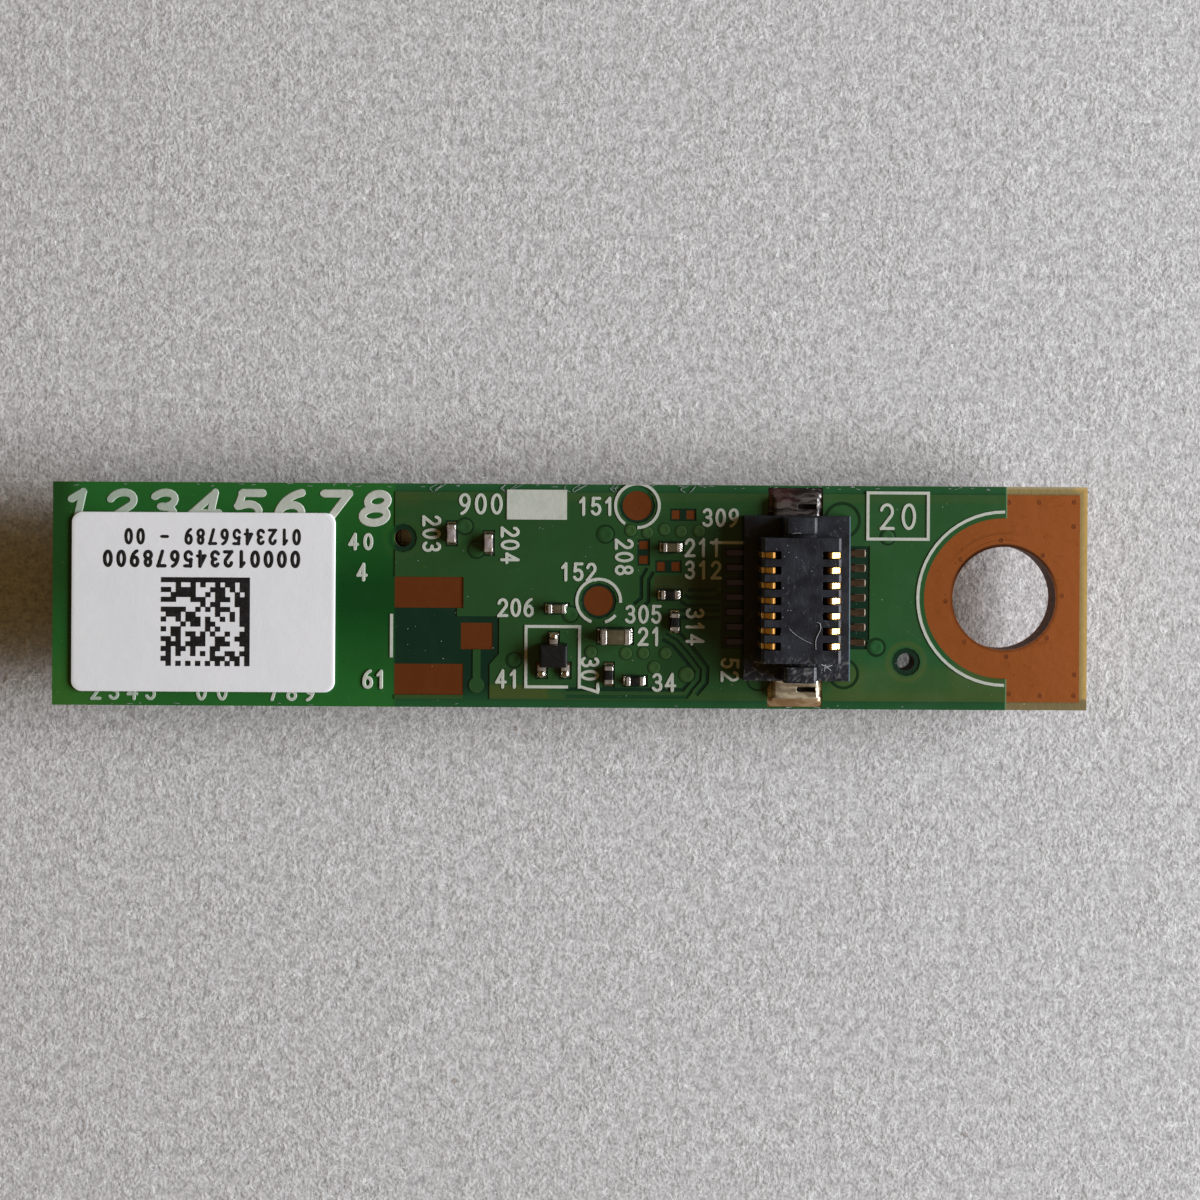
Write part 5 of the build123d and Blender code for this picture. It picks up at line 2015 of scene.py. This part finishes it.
@dataclass(frozen=True)
class Via:
    """A plated hole under the mask: a bare ring round a low dome."""

    x: float
    y: float
    radius: float = 0.24
    moat: float = 0.07

    def dome(self) -> np.ndarray:
        """The domed cap: it falls from the middle as 1 - s x s and dips at the very centre."""
        share = np.array([1.0, 1.0, 0.92, 0.75, 0.55, 0.35, 0.15])
        level = np.array([-0.02, 0.004, 0.008, 0.013, 0.014, 0.010, 0.007])
        return ring_stack(self.x, self.y, share * self.radius, MASK_TOP + level)

    def ring(self) -> np.ndarray:
        """The moat round the cap, a hair above the mask so that it shows."""
        outer = self.radius + self.moat
        share = np.array([outer, outer, self.radius * 0.9])
        level = np.array([-0.02, 0.003, 0.0045])
        return ring_stack(self.x, self.y, share, MASK_TOP + level)


def ring_stack(
    x: float, y: float, radii: np.ndarray, levels: np.ndarray, around: int = 28
) -> np.ndarray:
    """A turned form: circles of given radii at given levels.

    Args:
        x: The axis's place along the board.
        y: The axis's place across the board.
        radii: Radius of each circle.
        levels: Level of each circle.
        around: Points on each circle.

    Returns:
        The circles in order.
    """
    turn = np.linspace(0, 2 * math.pi, around, endpoint=False)
    rings = np.empty((len(radii), around, 3))
    rings[..., 0] = x + radii[:, None] * np.cos(turn)
    rings[..., 1] = y + radii[:, None] * np.sin(turn)
    rings[..., 2] = levels[:, None]
    return rings


@dataclass(frozen=True)
class BoardFace:
    """Laminate, copper and mask of both faces, with the tented holes and the land's dimples."""

    ringed: tuple[Via, ...] = (
        Via(1.19, 2.10, 0.26), Via(-3.56, 2.34, 0.24), Via(-3.16, 1.56, 0.26),
        Via(0.02, -0.61, 0.24), Via(-1.88, -2.17, 0.22), Via(10.73, 2.06, 0.22),
        Via(10.36, -1.67, 0.24, 0.09),
    )
    pale: tuple[Via, ...] = (
        Via(2.04, 2.23, 0.20, 0.03), Via(2.61, 2.16, 0.20, 0.03), Via(3.18, 2.27, 0.20, 0.03),
        Via(3.74, 2.21, 0.20, 0.03), Via(4.35, 2.22, 0.20, 0.03), Via(1.90, -1.92, 0.21, 0.03),
        Via(2.49, -1.91, 0.20, 0.03), Via(3.24, -1.91, 0.20, 0.03), Via(2.86, -2.39, 0.21, 0.03),
        Via(3.95, -2.63, 0.25, 0.04), Via(0.72, -1.89, 0.20, 0.04),
    )
    # Middle, radius and width of the bare rings round the connector's pegs
    peg_rings: tuple[tuple[float, float, float, float], ...] = (
        (9.19, 2.61, 0.58, 0.13), (9.26, -2.57, 0.48, 0.12), (6.38, -2.77, 0.38, 0.09),
    )
    neck: tuple[tuple[float, float], ...] = ((9.72, -1.40), (10.02, -1.42), (10.20, -1.50))
    land_dots: tuple[tuple[float, float], ...] = (
        (15.87, 3.26), (17.04, 3.27), (17.03, 2.45), (17.08, -2.56), (17.06, -3.27),
        (15.92, -3.28), (14.83, 3.25), (14.87, -3.22),
    )
    dots_round_hole: int = 8
    dot_circle: float = 1.97
    dot_radius: float = 0.085

    def build(self, card: Card) -> None:
        """Dress the layers and add the small round details.

        Args:
            card: The card it belongs to.
        """
        card.dress(SolderMask, "solder_mask_top", "solder_mask_bottom")
        card.dress(BareCopper, "ground_copper_top", "ground_copper_bottom")
        card.dress(BareCopper, "signal_copper_top", "signal_copper_bottom", "printed_antenna")
        card.dress(Laminate, "board")
        self._vias(card)
        self._dimples(card)

    def _vias(self, card: Card) -> None:
        """The tented holes with their moats, the peg rings and the neck from a tail to its hole.

        Args:
            card: The card it belongs to.
        """
        moats = Shape()
        kinds = (("via_caps", self.ringed, SolderMask), ("small_via_caps", self.pale, TentMask))
        for name, vias, kind in kinds:
            domes = Shape()
            for via in vias:
                domes.add_loft(via.dome())
                moats.add_loft(via.ring())
            domes.finish(name, card.finish(kind), Slot.MASK)
        low, high = MASK_TOP - 0.02, MASK_TOP + 0.003
        for x, y, radius, width in self.peg_rings:
            radii = radius + width * np.array([-0.5, 0.5, 0.4, -0.4])
            moats.add_band(ring_stack(x, y, radii, np.array([low, low, high, high]), 40))
        moats.add_line(softened_path(np.array(self.neck)), 0.07, low, high)
        moats.finish("via_moats", card.finish(MoatMask), Slot.MASK)

    def _dimples(self, card: Card) -> None:
        """Filled holes in the screw land: a low rim round a shallow cup, eight round the hole.

        Args:
            card: The card it belongs to.
        """
        turn = np.radians(45 * np.arange(self.dots_round_hole) + 3)
        circle = self.dot_circle
        round_hole = list(zip(SCREW_X + circle * np.cos(turn), circle * np.sin(turn)))
        dots = Shape()
        for x, y in list(self.land_dots) + round_hole:
            radii = np.array([1.0, 1.0, 0.85, 0.6, 0.3]) * self.dot_radius
            levels = LAND_TOP + np.array([-0.02, 0.0012, 0.004, 0.0022, 0.0012])
            dots.add_loft(ring_stack(x, y, radii, levels, 20))
        dots.finish("land_dimples", card.finish(DimpleCopper), Slot.COPPER)


@dataclass(frozen=True)
class Underside:
    """The shield can and the packages under it."""

    black: tuple[str, ...] = (
        "radio_chip_body", "memory_chip_body", "regulator_body", "inductor_body",
        "underside_resistor_bodies",
    )
    tan: tuple[str, ...] = ("antenna_filter_body", "underside_capacitor_bodies", "crystal_base")
    tinned: tuple[str, ...] = (
        "radio_chip_pads", "memory_chip_pads", "regulator_pads", "crystal_pads",
        "antenna_filter_ends", "inductor_ends", "underside_capacitor_ends",
        "underside_resistor_ends",
    )

    def build(self, card: Card) -> None:
        """Round the can and dress everything under it.

        Args:
            card: The card it belongs to.
        """
        card.softened("shield_can", Tinplate, 0.02, 50.0)
        for name in self.black:
            card.softened(name, MouldCompound, 0.02)
        for name in self.tan:
            card.softened(name, Ceramic, 0.02)
        card.dress(Tin, *self.tinned)
        card.softened("crystal_lid", Tinplate, 0.03)


# ---- dust


@dataclass(frozen=True)
class Fibre:
    """One loose fibre: a smooth curve through a few places, at one level or climbing."""

    places: tuple[tuple[float, float, float], ...]
    radius: float = 0.010

    def tube(self) -> np.ndarray:
        """A thin round tube along the softened path; its thickness falls at both ends."""
        path = softened_path(np.array(self.places, float), 4)
        ways = np.gradient(path, axis=0)
        ways /= np.linalg.norm(ways, axis=1, keepdims=True)
        side = np.cross(ways, [0.0, 0.0, 1.0])
        side /= np.linalg.norm(side, axis=1, keepdims=True) + 1e-9
        over = np.cross(side, ways)
        turn = np.linspace(0, 2 * math.pi, 6, endpoint=False)
        share = np.linspace(0, 1, len(path))
        thick = self.radius * np.clip(4 * share * (1 - share), 0.15, 1) ** 0.4
        cos, sin = np.cos(turn)[:, None], np.sin(turn)[:, None]
        ring = cos * side[:, None] + sin * over[:, None]
        return path[:, None] + ring * thick[:, None, None]


@dataclass(frozen=True)
class Dust:
    """Lint and flakes on the connector, and loose glass fibres along the board's upper edge."""

    top: float = 3.27
    seed: int = 5
    flakes: int = 90
    flakes_on_top: int = 26
    clear_of_plug: float = 2.6
    clear_of_screw: float = 2.9
    frayed: int = 60
    tufts: tuple[float, ...] = (-4.6, -2.1, 0.1, 1.6, 4.0)
    tuft_fibres: int = 4

    def build(self, card: Card) -> None:
        """Make the lint, the flakes and the frayed fibres.

        Args:
            card: The card it belongs to.
        """
        z = self.top + 0.012
        key = 3.15 + 0.012
        fibres = [
            Fibre((
                (8.10, -0.70, z), (8.22, -0.72, z + 0.01), (8.24, -0.92, z),
                (8.14, -1.10, z), (8.06, -1.30, z), (8.08, -1.60, z),
            )),
            Fibre(((7.20, -0.90, z), (7.34, -1.06, z), (7.60, -1.24, z), (7.95, -1.40, z)), 0.006),
            Fibre((
                (8.30, -2.06, 2.60), (8.42, -2.20, 2.60), (8.56, -2.24, 2.50), (8.75, -2.40, 2.42),
            ), 0.009),
            Fibre(((8.62, -2.05, 2.45), (8.50, -2.24, 2.60), (8.52, -2.44, 2.45)), 0.008),
            Fibre(((8.40, -2.34, 2.42), (8.55, -2.26, 2.58), (8.80, -2.22, 2.42)), 0.008),
            Fibre(((6.20, -2.10, 2.40), (6.34, -2.16, 2.40), (6.58, -2.20, 2.39)), 0.010),
            Fibre(((7.30, 2.20, key), (7.42, 2.24, key), (7.60, 2.22, key)), 0.006),
        ]
        lint = Shape()
        for fibre in fibres:
            lint.add_loft(fibre.tube())
        lint.finish("lint", card.finish(Lint), Slot.PAPER)
        self._flakes(card)
        self._frayed(card)

    def _flakes(self, card: Card) -> None:
        """Small flat flakes at random on the mask and the connector's top: six-cornered lenses.

        Args:
            card: The card it belongs to.
        """
        draw = np.random.default_rng(self.seed)
        x, y = draw.uniform(-5.5, 13.5, self.flakes), draw.uniform(-3.5, 3.5, self.flakes)
        clear = np.abs(x - CONNECTOR_X) > self.clear_of_plug
        clear &= np.hypot(x - SCREW_X, y) > self.clear_of_screw
        on_board, count = np.stack([x, y], axis=1)[clear], self.flakes_on_top
        on_top = np.stack([draw.uniform(6.9, 8.3, count), draw.uniform(-1.9, 1.9, count)], axis=1)
        places = np.concatenate([on_board, on_top])
        level = np.repeat([MASK_TOP, self.top], [len(on_board), count])
        size = draw.uniform(0.006, 0.022, len(places))
        turn = draw.uniform(0, math.pi, len(places))[:, None] + 2 * math.pi / 6 * np.arange(6)
        flat = np.stack([np.cos(turn), np.sin(turn) * 0.6], axis=-1) * size[:, None, None]
        shape = Shape()
        rings = np.zeros((len(places), 3, 6, 3))
        for i, (scale, lift) in enumerate(((0.8, -0.003), (1.0, 0.004), (0.5, 0.009))):
            rings[:, i, :, :2] = places[:, None] + flat * scale
            rings[:, i, :, 2] = level[:, None] + lift
        for stack in rings:
            shape.add_loft(stack)
        shape.finish("dust_flakes", card.finish(Lint), Slot.PAPER)

    def _frayed(self, card: Card) -> None:
        """Short glass fibres left by the cutter, lying along the board's two long edges.

        Args:
            card: The card it belongs to.
        """
        draw = np.random.default_rng(self.seed + 1)
        shape = Shape()
        for i in range(self.frayed):
            x = draw.uniform(-17.0, 14.5)
            side = 1 if i % 4 else -1
            y = side * (HALF_WIDTH - draw.uniform(0.02, 0.12))
            way = draw.normal(0, 0.6)
            reach = draw.uniform(0.08, 0.24)
            step = np.array([math.cos(way), 0.25 * math.sin(way) * -side, 0.0]) * reach / 2
            middle = np.array([x, y, BARE_TOP + 0.008])
            ends = np.array([middle - step, middle + [0, 0, 0.008], middle + step])
            ends[:, 1] = np.clip(ends[:, 1], -HALF_WIDTH + 0.01, HALF_WIDTH - 0.01)
            shape.add_loft(Fibre(tuple(map(tuple, ends)), 0.006).tube())
        for x in self.tufts:
            for _ in range(self.tuft_fibres):
                bend, reach = draw.uniform(-0.35, 0.25), draw.uniform(0.05, 0.35)
                along = x + np.array([0.0, bend, bend + reach * 0.6, bend + reach])
                across = (3.48 + 0.1 * bend, 3.62, 3.70, 3.76)
                up = BARE_TOP + 0.008 + np.array([0.0, 0.015, 0.02, 0.0])
                shape.add_loft(Fibre(tuple(zip(along, across, up)), 0.0045).tube())
        shape.finish("frayed_fibres", card.finish(Lint), Slot.LAMINATE)


# ---- studio


@dataclass(frozen=True)
class Studio:
    """A plain pale floor, one wide soft light low on the right, a dim warm room and the camera."""

    floor_half: float = 700.0
    light_distance: float = 420.0
    light_height: float = 20.0
    light_way: float = -1.0
    light_tall: float = 157.0
    light_wide: float = 433.0
    light_power: float = 4.6
    light_tone: tuple[float, float, float] = (0.94, 0.985, 1.045)
    room: tuple[float, float, float] = (0.116, 0.071, 0.025)
    camera_place: tuple[float, float, float] = (-0.16, 4.26, 47.97)
    lens: float = 40.83
    roll: float = 0.337
    shift: tuple[float, float] = (0.0283, -0.1083)

    def build(self, card: Card) -> None:
        """Make the floor, the lights and the camera.

        Args:
            card: The card it belongs to.
        """
        self._floor(card.finish(FloorPaper))
        self._light()
        self._room()
        self._camera()
        bpy.context.scene.view_settings.view_transform = "Standard"

    def _floor(self, paper: Material) -> None:
        """A flat sheet under the card.

        Args:
            paper: The floor's finish.
        """
        half = self.floor_half * MM
        mesh = bpy.data.meshes.new("floor")
        corners = [(-half, -half, 0), (half, -half, 0), (half, half, 0), (-half, half, 0)]
        mesh.from_pydata(corners, [], [(0, 1, 2, 3)])
        cover(mesh, paper)
        floor = linked("floor", mesh)

    def _light(self) -> None:
        """A soft light on the right, wide and low like a window."""
        lamp = bpy.data.lights.new("key", "AREA")
        lamp.shape = "RECTANGLE"
        lamp.size, lamp.size_y = self.light_tall * MM, self.light_wide * MM
        lamp.energy = self.light_power
        lamp.color = self.light_tone
        key = linked("key", lamp)
        rise, way = math.radians(self.light_height), math.radians(self.light_way)
        distance = self.light_distance * MM
        level = distance * math.cos(rise)
        key.location = (level * math.cos(way), level * math.sin(way), distance * math.sin(rise))
        key.rotation_euler = (0.0, math.radians(90 - self.light_height), way)

    def _room(self) -> None:
        """Dim warm light, even from all round."""
        world = bpy.data.worlds.new("room")
        world.use_nodes = True
        desk = Desk(world.node_tree)
        back = desk.put("ShaderNodeBackground")
        back.inputs["Color"].default_value = (*self.room, 1.0)
        desk.feed(desk.put("ShaderNodeOutputWorld").inputs["Surface"], back.outputs[0])
        bpy.context.scene.world = world

    def _camera(self) -> None:
        """Straight above the card, a little rolled."""
        lens = bpy.data.cameras.new("camera")
        lens.sensor_width, lens.lens = 36.0, self.lens
        lens.shift_x, lens.shift_y = self.shift
        lens.clip_start, lens.clip_end = 0.001, 2.0
        camera = linked("camera", lens)
        camera.location = tuple(value * MM for value in self.camera_place)
        camera.rotation_euler = (0.0, 0.0, math.radians(self.roll))
        bpy.context.scene.camera = camera


CHIPS = (
    *(Chip(f"capacitor_{i}", Body.GREY, 0.15) for i in (1, 2)),
    *(Chip(f"capacitor_{i}", Body.TAN, 0.15) for i in (3, 4)),
    Chip("capacitor_5", Body.TAN, 0.22, 0.05),
    *(Chip(f"resistor_{i}", Body.BLACK, 0.15) for i in (1, 2, 3, 4)),
)


def main() -> None:
    """Build the card and its studio."""
    logging.basicConfig(level=logging.INFO, format="%(message)s")
    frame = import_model()
    card = Card(frame, Effects())
    BoardFace().build(card)
    BoardPrint().build(card)
    Label().build(card)
    solder = Shape()
    Connector().build(card)
    for chip in CHIPS:
        chip.build(card, solder)
    Transistor().build(card, solder)
    solder.finish("solder_joints", card.finish(Tin), Slot.TIN, crease=60.0)
    Underside().build(card)
    Dust().build(card)
    Studio().build(card)


if __name__ == "__main__":
    main()
